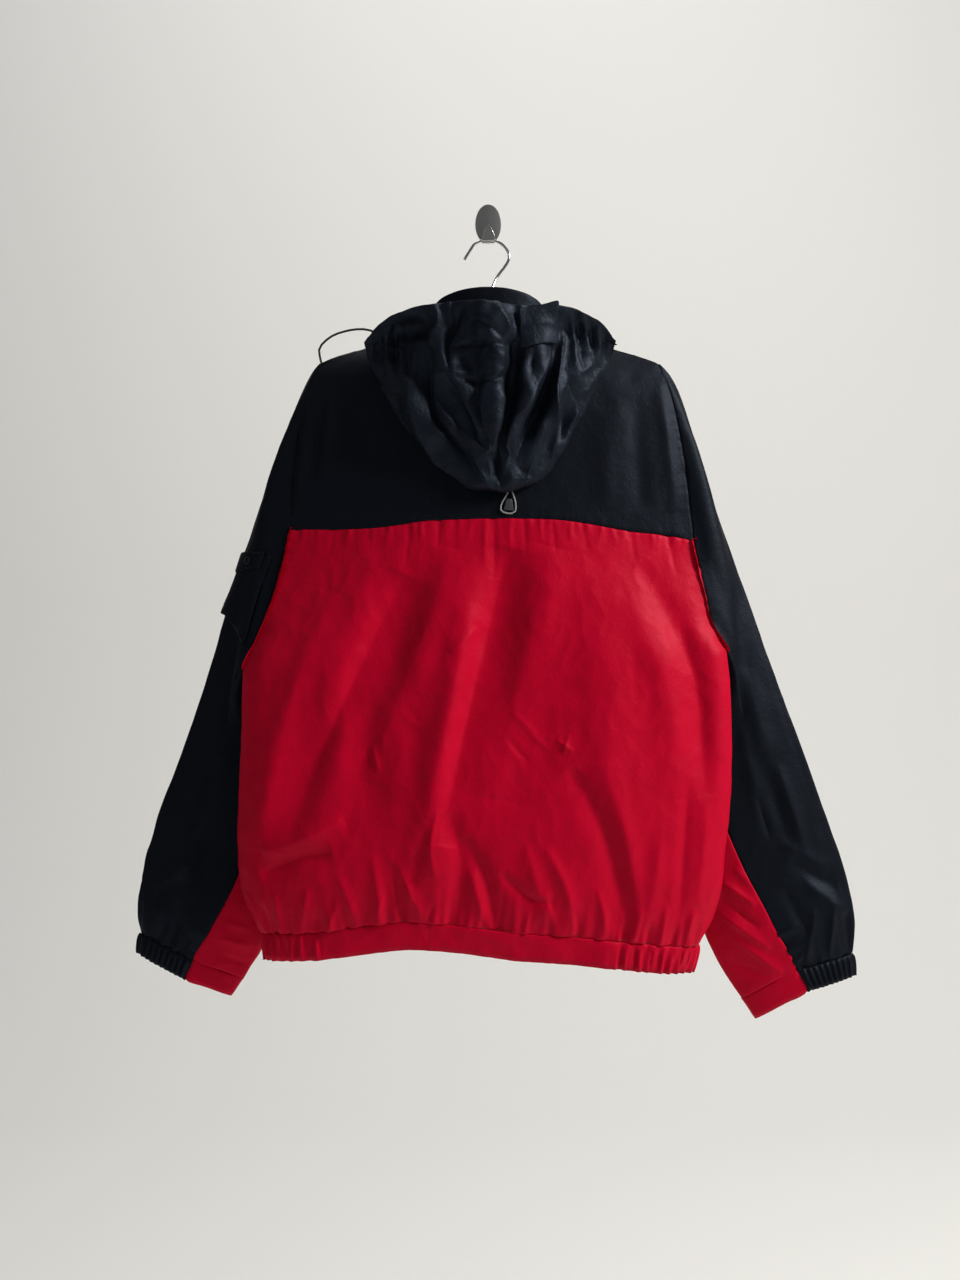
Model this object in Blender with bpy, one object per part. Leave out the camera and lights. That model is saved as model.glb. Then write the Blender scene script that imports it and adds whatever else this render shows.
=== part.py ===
"""A hooded shell jacket, its back towards the viewer, on a wire-hook hanger and a stick-on wall hook.

Metres, +Z up. The wall is the plane Y = 0 and everything lies on its -Y side, so the jacket's front
faces the wall and its back faces -Y. The origin is the middle of the wall plate's back. Left and
right are the viewer's. Tables are in millimetres and their columns are named.
"""
import math

import bmesh
import bpy
import numpy as np
from mathutils import Vector
from mathutils.bvhtree import BVHTree

MM = 0.001

# Cloth
CLOTH = 1.2 * MM
HOOD_CLOTH = 1.2 * MM
BAND_CLOTH = 1.9 * MM
SEAM_GAP = 0.3 * MM
LEAST_LEAN = 0.45
LEAN_STEPS = 60

# Grid of the body: rows run up from the hem, columns round from the left edge over the back
ROWS_TO_ARMPIT = 10
ROWS_TO_YOKE = 5
YOKE_ROWS = (2.0, 2.17, 2.34, 2.52, 2.7, 2.86, 2.965, 3.0)
BACK_COLUMNS = (0, .03, .075, .135, .2, .26, .32, .365, .41, .455, .5)
FRONT_COLUMNS = (1, .88, .76, .62, .5, .42, .36, .24, .12, 0)
NECK_COLUMN = 6
SIDE_CELLS = 5
SEAM_SIDE_CELLS = 2
FRONT_NECK_ANGLES = (1, .83, .66, .5195)
RIDGE_SHARPNESS = 9

# Neck and collar
NECK_HALF_WIDTH = 66 * MM
NECK_DEPTH = -30 * MM
NECK_BACK = 34 * MM
NECK_FRONT = 21 * MM
NECK_HEIGHT = -126 * MM
NECK_FRONT_DROP = 59 * MM
COLLAR_ROWS = 4
COLLAR_TAPER = 2 * MM
COLLAR_SIDE_TOP = -108 * MM
COLLAR_BACK_RISE = 23.5 * MM
COLLAR_FRONT_DROP = 4 * MM
ZIP_HALF_WIDTH = 4 * MM
RIDGE_DEPTH = -29 * MM

# Elastic hem and cuffs
HEM_HEIGHT = 30 * MM
HEM_PULL_IN = 4 * MM
HEM_LEAN_RIGHT = 4.5 * MM
HEM_RIB_PITCH = 8.2 * MM
CUFF_RIB_PITCH = 7.4 * MM
RIB_HEIGHT = 1.3 * MM
RIB_STEPS = 2
BAND_ROWS = (0.0, 0.3, 1.0)
HEM_ELASTIC = ((16.0, 28.0), (42.0, 52.3))

# Sleeves
SLEEVE_ROWS = (0, .055, .115, .18, .25, .33, .42, .51, .6, .69, .78, .86, .92, .96, 1)
SLEEVE_EDGE_DEPTH = -24 * MM
SLEEVE_BACK = 15 * MM
SLEEVE_FRONT = 14 * MM
SLEEVE_BELLY = 9 * MM
RED_FRONT_CELLS = 3

# Hanger: its wire hook and its arms under the shoulders
HOOK_WIRE_RADIUS = 1.6 * MM
HANGER_RADIUS = 3.8 * MM
HANGER_DROP = 10.6 * MM
HANGER_DEPTH = -30.3 * MM
HANGER_REACH = 160 * MM
HANGER_DIP = 5 * MM
HANGER_TOP = -118 * MM
HOOK_FOOT = 0.4 * MM

# Wall hook: a thin oval plate and a tongue bent up into a pointed lip
PLATE_HALF_WIDTH = 14.7 * MM
PLATE_HALF_HEIGHT = 22.6 * MM
PLATE_THICKNESS = 1.0 * MM
PLATE_SIDES = 40
TONGUE_THICKNESS = 1.0 * MM
TONGUE_REST = 0.02 * MM

# Zip slider with the bridge that holds its pull tab
SLIDER_HEIGHT = -128 * MM
SLIDER_HALF_WIDTH = 4.2 * MM
SLIDER_LENGTH = 9 * MM
SLIDER_BACK = -8.6 * MM
SLIDER_FRONT = -7.2 * MM
BRIDGE_HALF_WIDTH = 1.0 * MM
BRIDGE_HALF_LENGTH = 3.0 * MM
BRIDGE_WALL = 0.8 * MM
BRIDGE_END = -3.8 * MM
BRIDGE_REST = 0.02 * MM

# Pull tab: a flat tab with a window for the bridge, turning on its upper bar
TAB_AXIS_DEPTH = -5.9 * MM
TAB_AXIS_HEIGHT = SLIDER_HEIGHT - 1.2 * MM
TAB_HALF_WIDTH = 2.5 * MM
TAB_HALF_THICKNESS = 0.6 * MM
TAB_LENGTH = 26 * MM
WINDOW_HALF_WIDTH = 1.4 * MM
WINDOW_END = 5.6 * MM

# Cords of the hood
CORD_RADIUS = 1.25 * MM
CORD_REST = 0.6 * MM
LOOP_RADIUS = 0.9 * MM
GRIP_THICKNESS = 2.4 * MM

# Sleeve pocket
POCKET_LIFT = 2.6 * MM
POCKET_PUFF = 5 * MM
FLAP_LIFT = 4.6 * MM
SNAP_RADIUS = 4.6 * MM
SNAP_HEIGHT = 1.6 * MM


def smooth(keys, values):
    """A smooth line through values placed at rising keys."""
    keys = np.array(keys, float)
    values = np.array(values, float)
    slopes = np.gradient(values, keys)

    def at(key):
        key = min(max(key, keys[0]), keys[-1])
        i = min(int(np.searchsorted(keys, key, side="right")) - 1, len(keys) - 2)
        step = keys[i + 1] - keys[i]
        f = (key - keys[i]) / step
        rise = f * f * (3 - 2 * f)
        start = step * slopes[i] * f * (1 - f) ** 2
        end = step * slopes[i + 1] * f * f * (f - 1)
        return float(values[i] * (1 - rise) + values[i + 1] * rise + start + end)

    return at


def table(names, *rows):
    """Smooth curves in metres, one for each named column in millimetres after the key column."""
    columns = list(zip(*rows))
    return {name: smooth(columns[0], [v * MM for v in columns[i]])
            for i, name in enumerate(names.split()) if i}


# Edges of the back. Key 0 is the hem, 1 the armpits, 2 the yoke seam and 3 the shoulders
BACK_EDGE = table("row left_x left_z right_x right_z depth crown",
                  (0.00, -249, -790, 232, -804, -60, -97),
                  (0.12, -266, -757, 249, -765, -61, -103),
                  (0.32, -274, -700, 258, -706, -61, -106),
                  (0.55, -273, -632, 265, -634, -61, -104),
                  (0.78, -270, -563, 266, -560, -60, -99),
                  (1.00, -268, -503, 261, -483, -58, -94),
                  (1.18, -259, -480, 247, -457, -57, -91),
                  (1.45, -242, -438, 238, -420, -55, -87),
                  (1.72, -229, -393, 231, -388, -52, -82),
                  (2.00, -219, -349, 226, -361, -50, -78),
                  (2.30, -215, -300, 220, -302, -47, -73),
                  (2.60, -208, -243, 212, -246, -44, -69),
                  (2.86, -199, -190, 200, -191, -41, -66),
                  (3.00, -187, -162.5, 190.5, -164, -40, -64))

# How far the hem, the armpit row and the yoke seam stand above a straight line between their ends
BACK_RISE = table("across hem armpit yoke",
                  (0.00, 0, 0, 0),
                  (0.15, 7, 3, 1),
                  (0.24, 15, 4, 4),
                  (0.33, 21, 4, 11),
                  (0.45, 19, 4, 15),
                  (0.58, 13, 4, 17),
                  (0.68, 11, 4, 16),
                  (0.84, 5, 2, 7),
                  (0.93, 1, 1, 4),
                  (1.00, 0, 0, 0))

# The seam where the back, folded round the sides, meets the fronts, and above it the front armholes
FRONT_EDGE = table("row left_x left_z right_x right_z depth panel",
                   (0.00, -226, -795, 224, -806, -38, -18),
                   (0.12, -207, -758, 203, -766, -42, -16),
                   (0.32, -190, -702, 183, -706, -44, -14),
                   (0.55, -184, -634, 173, -634, -44, -13),
                   (0.78, -186, -566, 178, -560, -42, -13),
                   (1.00, -205, -515, 200, -500, -26, -13),
                   (1.45, -206, -432, 203, -430, -15, -12),
                   (2.00, -205, -352, 205, -352, -13, -12),
                   (2.60, -202, -244, 203, -246, -13, -12),
                   (2.86, -195, -190, 197, -191, -14, -13),
                   (3.00, -187, -162.5, 190.5, -164, -16, -14))
FRONT_RECESS = 45 * MM
FRONT_HEM_RISE = 22 * MM

# The shoulder ridge over the hanger's arms
RIDGE = table("out height", (66, -126), (85, -130.7), (140, -146.5), (186, -161.8), (191, -164.5))

# Soft folds of the back: where each starts and ends, its half width and how far it stands out
BACK_FOLDS = (
    # top_x, top_z, end_x, end_z, width, height
    (-125, -375, -204, -735, 26, 8),
    (-64, -375, -165, -700, 22, -8),
    (-15, -370, -66, -760, 26, 8),
    (28, -370, 26, -670, 28, -8),
    (126, -380, 136, -720, 34, 7),
    (214, -450, 228, -660, 15, -5),
    (157, -200, 180, -335, 13, 5),
    (-176, -215, -196, -335, 15, 4),
)

# Guide lines of each sleeve from armhole to cuff: outer edge, line from the armpit, colour seam
# on the back and inner edge
SLEEVE_RIGHT = table("along outer_x outer_z armpit_x armpit_z seam_x seam_z inner_x inner_z",
                     (0.00, 190.5, -164, 261, -483, 236.6, -489.8, 200, -500),
                     (0.055, 214, -199, 266.5, -493, 240.5, -501, 200.5, -511),
                     (0.10, 240, -285, 271, -503, 244, -514, 201, -522),
                     (0.20, 268, -365, 276, -533, 246, -544, 200, -550),
                     (0.30, 292, -432, 280, -565, 247, -573, 198, -585),
                     (0.40, 314, -492, 285, -598, 249, -603, 197, -620),
                     (0.50, 334, -548, 292, -632, 252, -630, 197, -655),
                     (0.60, 353, -600, 298, -667, 257, -662, 199, -688),
                     (0.70, 371, -650, 306, -702, 268, -690, 206, -722),
                     (0.80, 388, -698, 318, -738, 284, -727, 222, -760),
                     (0.88, 401, -740, 330, -772, 300, -757, 238, -792),
                     (0.95, 409.5, -785, 340, -803, 319, -793, 257, -832),
                     (1.00, 408, -820, 351, -834, 341.5, -836, 282.5, -871))
SLEEVE_LEFT = table("along outer_x outer_z armpit_x armpit_z seam_x seam_z inner_x inner_z",
                    (0.00, -187, -162.5, -268, -503, -242.8, -507.8, -205, -515),
                    (0.055, -208.5, -196, -274.5, -512.5, -246.5, -519.5, -205.5, -526),
                    (0.10, -234, -270, -280, -522, -250, -531, -206, -537),
                    (0.20, -261, -342, -284, -549, -252, -558, -205, -565),
                    (0.30, -283, -407, -287, -579, -253, -586, -204, -597),
                    (0.40, -300, -468, -292, -609, -255, -616, -204, -630),
                    (0.50, -318, -525, -297, -639, -258, -645, -205, -663),
                    (0.60, -336, -578, -303, -669, -263, -674, -207, -695),
                    (0.70, -353, -624, -310, -698, -269, -707, -212, -726),
                    (0.80, -368, -664, -317, -727, -281, -741, -222, -760),
                    (0.88, -381, -712, -322, -757, -294, -767, -238, -790),
                    (0.95, -392, -765, -329, -787, -311, -797, -255, -820),
                    (1.00, -390, -797, -336.5, -822, -327.5, -826, -273, -848))

# Lower edge of each cuff: outer edge, colour seam and inner edge
CUFF_RIGHT_END = {"outer": (409.7, -845), "seam": (354, -860), "inner": (297, -894.5)}
CUFF_LEFT_END = {"outer": (-392, -820), "seam": (-336, -847), "inner": (-286, -868.5)}

# Hood, hanging down the back as an open bag: its side edges from the bottom to the shoulders
HOOD_SIDE = table("up left_x left_z right_x right_z",
                  (0.00, -27, -303, 62, -291),
                  (0.12, -49, -281, 78, -268),
                  (0.25, -72, -258, 90, -246),
                  (0.38, -94, -235, 101, -226),
                  (0.55, -113, -203, 113, -202),
                  (0.72, -124, -173, 128, -174),
                  (0.88, -134, -154, 138, -155),
                  (1.00, -136, -146, 140.5, -146.5))
HOOD_BOTTOM = table("across height", (0, -303), (.25, -306), (.5, -307.5), (.75, -301), (1, -291))
# Upper edge of the hood's outer layer, which is the face opening, by its place across
HOOD_RIM = table("x height depth",
                 (-136, -146, -62),
                 (-118, -129, -75),
                 (-92, -117, -85),
                 (-62, -112, -92),
                 (-20, -110, -97),
                 (12, -113, -97),
                 (44, -114, -96),
                 (78, -113, -92),
                 (108, -121, -83),
                 (126, -131, -75),
                 (140.5, -146.5, -62))
# Upper edge of the layer that lies on the yoke, sewn in behind the collar
HOOD_NECK = table("x height", (-136, -146), (-118, -146), (-92, -140), (-66, -133), (-40, -130.5),
                  (40, -130.5), (66, -133), (92, -140), (120, -147), (140.5, -146.5))
HOOD_COLUMNS = 22
HOOD_ROWS = 11
HOOD_LIFT = 2.3 * MM
HOOD_EDGE_LIFT = 2.2 * MM
HOOD_NECK_LIFT = 2.4 * MM
HOOD_EDGE_DEPTH = -62 * MM
HOOD_FOOT_DEPTH = 9 * MM
HOOD_BULGE = 18 * MM
HOOD_FOLD_POINT = (14, -312)
# Folds that run out from the hood's lowest point
HOOD_FOLDS = (
    # angle from upright, half width, height, nearest and furthest place
    (-46, 7, 5, 60, 230),
    (-34, 6, -5, 50, 220),
    (-24, 6, 6, 40, 230),
    (-13, 5.5, -6, 40, 205),
    (-3, 6, 8, 30, 240),
    (6, 4.5, -9, 20, 200),
    (14, 5, 6, 40, 220),
    (23, 5.5, -5, 50, 200),
    (32, 6, 6, 40, 220),
    (42, 6, -4, 60, 220),
)
# Corners of the flap sewn on the hood beside its rim, as x and z
HOOD_TAB_LIFT = 2.4 * MM
HOOD_TAB = ((33, -119), (74.5, -109), (75, -152), (33.5, -160))

# Routes of the cords, as x, y and z; the hood's cord lies on the front yoke from its eighth place on
HOOD_CORD = ((-117, -59, -137), (-132, -56, -130.5), (-157, -49, -130.5), (-177, -43, -137.5),
             (-187.5, -37, -148), (-187.5, -28, -156), (-185.5, -17.5, -165), (-182, -11.5, -175),
             (-175, -10, -186), (-162, -10, -192), (-144, -10, -192), (-118, -10, -186),
             (-94, -10, -177), (-76, -10, -166))
HOOD_CORD_ON_YOKE = 8
PULL_LOOP = ((21.5, -309.5), (18, -316), (13.2, -326), (13.6, -331), (18, -333), (25, -333.6),
             (29, -331), (29.4, -326), (27.6, -316), (25.5, -309.5))
GRIP_OUTLINE = ((19.3, -318), (25.2, -318), (27.1, -330.6), (16.2, -330))
HOOK_ROUTE = ((-27, -8, -42), (-25, -8, -38.5), (-20, -7.6, -30.5), (-15.5, -7, -24.2),
              (-8, -6.5, -20.4), (0, -6.5, -19.4), (8.5, -6.5, -20.4), (15.5, -6.6, -24.2),
              (21, -7, -30.5), (23.3, -7.6, -36.5), (22.6, -8.4, -43), (18, -10, -51),
              (11, -13, -61), (5, -17.5, -74), (1.2, -22, -90), (0, -26.5, -104))

# Sleeve pocket: top and bottom edges by distance in from the sleeve's outer edge, which is
# negative on the side that faces the wall
POCKET_EDGES = table("inward top bottom", (-34, -381, -436), (-14, -380, -436), (0, -379, -440),
                     (12, -379, -452), (26, -379.5, -466), (36, -380, -476))
FLAP_EDGES = table("inward top bottom", (-36, -374, -396), (0, -373, -395), (20, -374, -392),
                   (36, -375, -390))
POCKET_STEPS = (-34, -22, -12, -5, 0, 5, 12, 20, 28, 35)
FLAP_STEPS = (-20, -12, -5, 0, 5, 12, 20, 27)


def ease(x):
    """A soft step from 0 to 1."""
    x = min(max(x, 0.0), 1.0)
    return x * x * (3 - 2 * x)


def mix(a, b, f):
    """The value a fraction f of the way from a to b."""
    return a + (b - a) * f


def mirrored(half):
    """A rising half list, 0 to 0.5, and its mirror image up to 1."""
    return list(half) + [1 - value for value in reversed(half[:-1])]


ROW_KEYS = ([i / ROWS_TO_ARMPIT for i in range(ROWS_TO_ARMPIT)]
            + [1 + i / ROWS_TO_YOKE for i in range(ROWS_TO_YOKE)] + list(YOKE_ROWS))
ARMPIT_ROW = ROWS_TO_ARMPIT
YOKE_ROW = ROWS_TO_ARMPIT + ROWS_TO_YOKE
TOP_ROW = len(ROW_KEYS) - 1
BACK_ACROSS = mirrored(BACK_COLUMNS)
BACK_CELLS = len(BACK_ACROSS) - 1
FRONT_CELLS = 2 * len(FRONT_COLUMNS) - 1
RIGHT_SIDE = BACK_CELLS
RIGHT_FRONT = RIGHT_SIDE + SIDE_CELLS
LEFT_FRONT = RIGHT_FRONT + FRONT_CELLS
LOOP = LEFT_FRONT + SIDE_CELLS
ZIP_COLUMN = RIGHT_FRONT + len(FRONT_COLUMNS) - 1


def fold_height(x, z, folds):
    """How far the soft folds lift the cloth at a place on the back."""
    lift = 0.0
    for top_x, top_z, end_x, end_z, width, height in folds:
        f = (z / MM - top_z) / (end_z - top_z)
        if 0 < f < 1:
            centre = mix(top_x, end_x, f)
            lift += height * math.sin(math.pi * f) ** 0.8 * math.exp(-((x / MM - centre) / width) ** 2)
    return lift * MM


def top_back(across):
    """The shoulder ridge and the back of the neckline, from the left shoulder to the right one."""
    side_share = BACK_ACROSS[NECK_COLUMN]
    neck_share = (across - side_share) / (1 - 2 * side_share)
    if 0 <= neck_share <= 1:
        turn = math.pi * neck_share
        return (-NECK_HALF_WIDTH * math.cos(turn), NECK_DEPTH - NECK_BACK * math.sin(turn), NECK_HEIGHT)
    if across < 0.5:
        x = mix(BACK_EDGE["left_x"](3), -NECK_HALF_WIDTH, across / side_share)
    else:
        x = mix(BACK_EDGE["right_x"](3), NECK_HALF_WIDTH, (1 - across) / side_share)
    return x, RIDGE_DEPTH, RIDGE["height"](abs(x) / MM)


def back_point(across, row):
    """A point of the back's outer face."""
    left_x, left_z = BACK_EDGE["left_x"](row), BACK_EDGE["left_z"](row)
    right_x, right_z = BACK_EDGE["right_x"](row), BACK_EDGE["right_z"](row)
    x, z = mix(left_x, right_x, across), mix(left_z, right_z, across)
    zone = min(int(row), 2)
    f = row - zone
    rises = [BACK_RISE[name](across) for name in ("hem", "armpit", "yoke")] + [0.0]
    z += mix(rises[zone], rises[zone + 1], ease(f))
    power = mix(0.5, 1.0, ease((row - 1) / 0.7))
    shape = (1 - abs(2 * across - 1) ** 2.2) ** power
    edge = BACK_EDGE["depth"](row)
    y = edge + (BACK_EDGE["crown"](row) - edge) * shape
    y -= fold_height(x, z, BACK_FOLDS) * min(1.0, 4 * shape)
    if row > 2:
        top = top_back(across)
        straight_x = mix(BACK_EDGE["left_x"](3), BACK_EDGE["right_x"](3), across)
        straight_z = mix(BACK_EDGE["left_z"](3), BACK_EDGE["right_z"](3), across)
        x += (top[0] - straight_x) * f ** 1.5
        z += (top[2] - straight_z) * f ** 1.2
        y = mix(y, top[1], f ** RIDGE_SHARPNESS)
    return Vector((x, y, z))


def side_point(side, inward, row):
    """A point of the cloth that folds round a side behind the sleeve, up to the side seam."""
    x = mix(BACK_EDGE[side + "_x"](row), FRONT_EDGE[side + "_x"](row), inward)
    z = mix(BACK_EDGE[side + "_z"](row), FRONT_EDGE[side + "_z"](row), inward)
    y = mix(BACK_EDGE["depth"](row), FRONT_EDGE["depth"](row), inward ** 0.6)
    return Vector((x, y, z))


def front_point(side, out, angle, row):
    """A point of the front: out is 0 at the zip and 1 at the side seam or armhole."""
    sign = -1 if side == "left" else 1
    edge_x = abs(FRONT_EDGE[side + "_x"](row))
    x = mix(ZIP_HALF_WIDTH, edge_x, out)
    middle_z = (FRONT_EDGE["left_z"](row) + FRONT_EDGE["right_z"](row)) / 2
    z = mix(middle_z, FRONT_EDGE[side + "_z"](row), out)
    z += FRONT_HEM_RISE * ease(1 - out) * ease(1 - row)
    panel = FRONT_EDGE["panel"](row)
    recess = min(max(1 - (edge_x - x) / FRONT_RECESS, 0.0), 1.0) ** 2
    y = mix(panel, FRONT_EDGE["depth"](row), recess)
    if row > 2:
        f = row - 2
        top = top_front(side, out, angle)
        x = mix(x, abs(top[0]), f ** 1.5)
        z += (top[2] - mix(FRONT_EDGE["left_z"](3), FRONT_EDGE[side + "_z"](3), 0.5)) * f ** 1.2 * (1 - out)
        z += (top[2] - FRONT_EDGE[side + "_z"](3)) * f ** 1.2 * out
        y = mix(y, top[1], f ** RIDGE_SHARPNESS)
    return Vector((sign * x, y, z))


def top_front(side, out, angle):
    """The shoulder ridge or, where angle is given, the front of the neckline."""
    if angle is not None:
        turn = math.pi * angle
        droop = abs(math.sin(turn))
        return (NECK_HALF_WIDTH * -math.cos(turn), NECK_DEPTH + NECK_FRONT * droop,
                NECK_HEIGHT - NECK_FRONT_DROP * droop ** 1.2)
    inward = BACK_ACROSS[FRONT_COLUMNS.index(out)] / BACK_ACROSS[NECK_COLUMN]
    x = mix(abs(BACK_EDGE[side + "_x"](3)), NECK_HALF_WIDTH, inward)
    return x, RIDGE_DEPTH, RIDGE["height"](x / MM)


def body_point(column, row_index):
    """A grid point of the body, by its column round the loop and its row."""
    row = ROW_KEYS[row_index]
    column %= LOOP
    if column <= BACK_CELLS:
        return back_point(BACK_ACROSS[column], row)
    if column < RIGHT_FRONT:
        return side_point("right", (column - RIGHT_SIDE) / SIDE_CELLS, row)
    if column > LEFT_FRONT:
        return side_point("left", (LOOP - column) / SIDE_CELLS, row)
    if column <= ZIP_COLUMN:
        side, index = "right", column - RIGHT_FRONT
    else:
        side, index = "left", LEFT_FRONT - column
    angle = None
    if index >= NECK_COLUMN:
        angle = FRONT_NECK_ANGLES[index - NECK_COLUMN]
    return front_point(side, FRONT_COLUMNS[index], angle, row)


class Sheet:
    """A sheet of cloth as points and four-sided cells, each cell belonging to a named piece."""

    def __init__(self):
        self.keys = {}
        self.points = []
        self.cells = []
        self.owners = []

    def at(self, key, position=None):
        """The index of the point with a key, which is added where it is new."""
        if key not in self.keys:
            self.keys[key] = len(self.points)
            self.points.append(Vector(position))
        return self.keys[key]

    def cell(self, owner, corners):
        """Adds a cell whose corners run anticlockwise seen from outside."""
        self.cells.append(tuple(corners))
        self.owners.append(owner)

    def normals(self, owner=None):
        """Outward direction at each point, from all cells or from those of one piece."""
        total = [Vector((0, 0, 0)) for _ in self.points]
        for cell, name in zip(self.cells, self.owners):
            if owner is None or name == owner:
                corners = [self.points[i] for i in cell]
                across = (corners[2] - corners[0]).cross(corners[3] - corners[1])
                if across.length > 0:
                    across.normalize()
                for i in cell:
                    total[i] += across
        return [n.normalized() if n.length > 1e-9 else Vector((0, -1, 0)) for n in total]

    def lean(self):
        """A direction at each point that leans out from every cell round it, for walls that share seams."""
        facings = [[] for _ in self.points]
        for cell in self.cells:
            corners = [self.points[i] for i in cell]
            across = (corners[2] - corners[0]).cross(corners[3] - corners[1])
            if across.length > 0:
                for i in cell:
                    facings[i].append(across.normalized())
        result = []
        for group in facings:
            way = sum(group, Vector((0, 0, 0)))
            for _ in range(LEAN_STEPS):
                if not group or way.length < 1e-9:
                    break
                way.normalize()
                least = min(group, key=way.dot)
                if way.dot(least) > LEAST_LEAN:
                    break
                way += least * 0.1
            result.append(way.normalized() if way.length > 1e-9 else Vector((0, -1, 0)))
        return result


def piece_solid(sheet, owner, thickness, shared=None, plain=None):
    """A closed wall for one piece: its outer face, an inner face and the rims between them.

    Where plain gives points, the inner face lies behind those, so that ribs stand on a plain inside.
    """
    shared = shared or sheet.lean()
    own = sheet.normals(owner)
    cells = [c for c, name in zip(sheet.cells, sheet.owners) if name == owner]
    used = sorted({i for c in cells for i in c})
    edges = {}
    for cell in cells:
        for a, b in zip(cell, cell[1:] + cell[:1]):
            edges[(a, b)] = cell
    rim = [edge for edge in edges if (edge[1], edge[0]) not in edges]
    inward = {i: [] for i in used}
    for a, b in rim:
        corners = [sheet.points[i] for i in edges[(a, b)]]
        across = (corners[2] - corners[0]).cross(corners[3] - corners[1]).normalized()
        along = (sheet.points[b] - sheet.points[a]).normalized()
        for i in (a, b):
            inward[i].append((across.cross(along).normalized(), shared[i].cross(along).normalized()))
    mesh = bmesh.new()
    outer, inner = {}, {}
    for i in used:
        point = sheet.points[i].copy()
        base = plain[i].copy() if plain else point.copy()
        if inward[i]:
            middle = sum((way for way, _ in inward[i]), Vector((0, 0, 0)))
            if middle.length > 1e-6:
                middle.normalize()
                clear = min(middle.dot(parting) for _, parting in inward[i])
                inset = middle * (SEAM_GAP / 2 / max(clear, 0.15))
                point += inset
                base += inset
        outer[i] = mesh.verts.new(point)
        inner[i] = mesh.verts.new(base - shared[i] * (thickness / max(shared[i].dot(own[i]), 0.7)))
    for a, b, c, d in cells:
        for corners in ((a, b, c), (a, c, d)):
            if len(set(corners)) == 3:
                mesh.faces.new([outer[i] for i in corners])
                mesh.faces.new([inner[i] for i in reversed(corners)])
    for a, b in rim:
        if a < b:
            mesh.faces.new((outer[b], outer[a], inner[a]))
            mesh.faces.new((outer[b], inner[a], inner[b]))
        else:
            mesh.faces.new((outer[b], outer[a], inner[b]))
            mesh.faces.new((outer[a], inner[a], inner[b]))
    return mesh


MATERIALS = {
    # colour, roughness, metallic
    "black_nylon": ((0.012, 0.014, 0.018), 0.6, 0.0),
    "black_hood_nylon": ((0.014, 0.016, 0.020), 0.42, 0.0),
    "red_nylon": ((0.44, 0.008, 0.020), 0.55, 0.0),
    "black_cord": ((0.010, 0.010, 0.012), 0.7, 0.0),
    "pale_cord": ((0.55, 0.56, 0.55), 0.5, 0.0),
    "rubber": ((0.035, 0.04, 0.042), 0.6, 0.0),
    "chrome": ((0.75, 0.75, 0.76), 0.12, 1.0),
    "steel": ((0.30, 0.31, 0.31), 0.35, 1.0),
    "hanger_plastic": ((0.02, 0.02, 0.022), 0.45, 0.0),
}


def material(name):
    """The named material, made the first time it is asked for."""
    found = bpy.data.materials.get(name)
    if found:
        return found
    colour, roughness, metallic = MATERIALS[name]
    found = bpy.data.materials.new(name)
    found.use_nodes = True
    shader = found.node_tree.nodes["Principled BSDF"]
    shader.inputs["Base Color"].default_value = (*colour, 1.0)
    shader.inputs["Roughness"].default_value = roughness
    shader.inputs["Metallic"].default_value = metallic
    return found


def add_object(name, mesh, finish, parent=None):
    """An object from a bmesh or a mesh datablock."""
    if isinstance(mesh, bmesh.types.BMesh):
        data = bpy.data.meshes.new(name)
        mesh.to_mesh(data)
        mesh.free()
    else:
        data = mesh
    data.materials.append(material(finish))
    made = bpy.data.objects.new(name, data)
    bpy.context.collection.objects.link(made)
    made.parent = parent
    return made


def armhole_point(side, place):
    """A point of the armhole: 0 and 28 at the shoulder, down the back, round and up the front."""
    cells = TOP_ROW - ARMPIT_ROW
    if place <= cells:
        column, row = (0 if side == "left" else RIGHT_SIDE), TOP_ROW - place
    elif place < cells + SIDE_CELLS:
        step = place - cells
        column, row = (-step if side == "left" else RIGHT_SIDE + step), ARMPIT_ROW
    else:
        column = LEFT_FRONT if side == "left" else RIGHT_FRONT
        row = ARMPIT_ROW + place - cells - SIDE_CELLS
    return column % LOOP, row


ARMHOLE_CELLS = 2 * (TOP_ROW - ARMPIT_ROW) + SIDE_CELLS
ARMPIT_PLACE = TOP_ROW - ARMPIT_ROW
SEAM_PLACE = ARMPIT_PLACE + SEAM_SIDE_CELLS
INNER_PLACE = ARMPIT_PLACE + SIDE_CELLS
FRONT_SEAM_PLACE = INNER_PLACE + RED_FRONT_CELLS
# Spans of a sleeve's round between its guide lines, with the turn at each end in degrees
SLEEVE_SPANS = (
    (0, ARMPIT_PLACE, "outer", "armpit", 0, 80),
    (ARMPIT_PLACE, SEAM_PLACE, "armpit", "seam", 80, 100),
    (SEAM_PLACE, INNER_PLACE, "seam", "inner", 100, 180),
    (INNER_PLACE, FRONT_SEAM_PLACE, "inner", "front", 180, 260),
    (FRONT_SEAM_PLACE, ARMHOLE_CELLS, "front", "outer", 260, 360),
)


def guide(guides, name, along):
    """A point of one of a sleeve's guide lines, as x and z."""
    return np.array((guides[name + "_x"](along), guides[name + "_z"](along)))


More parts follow.
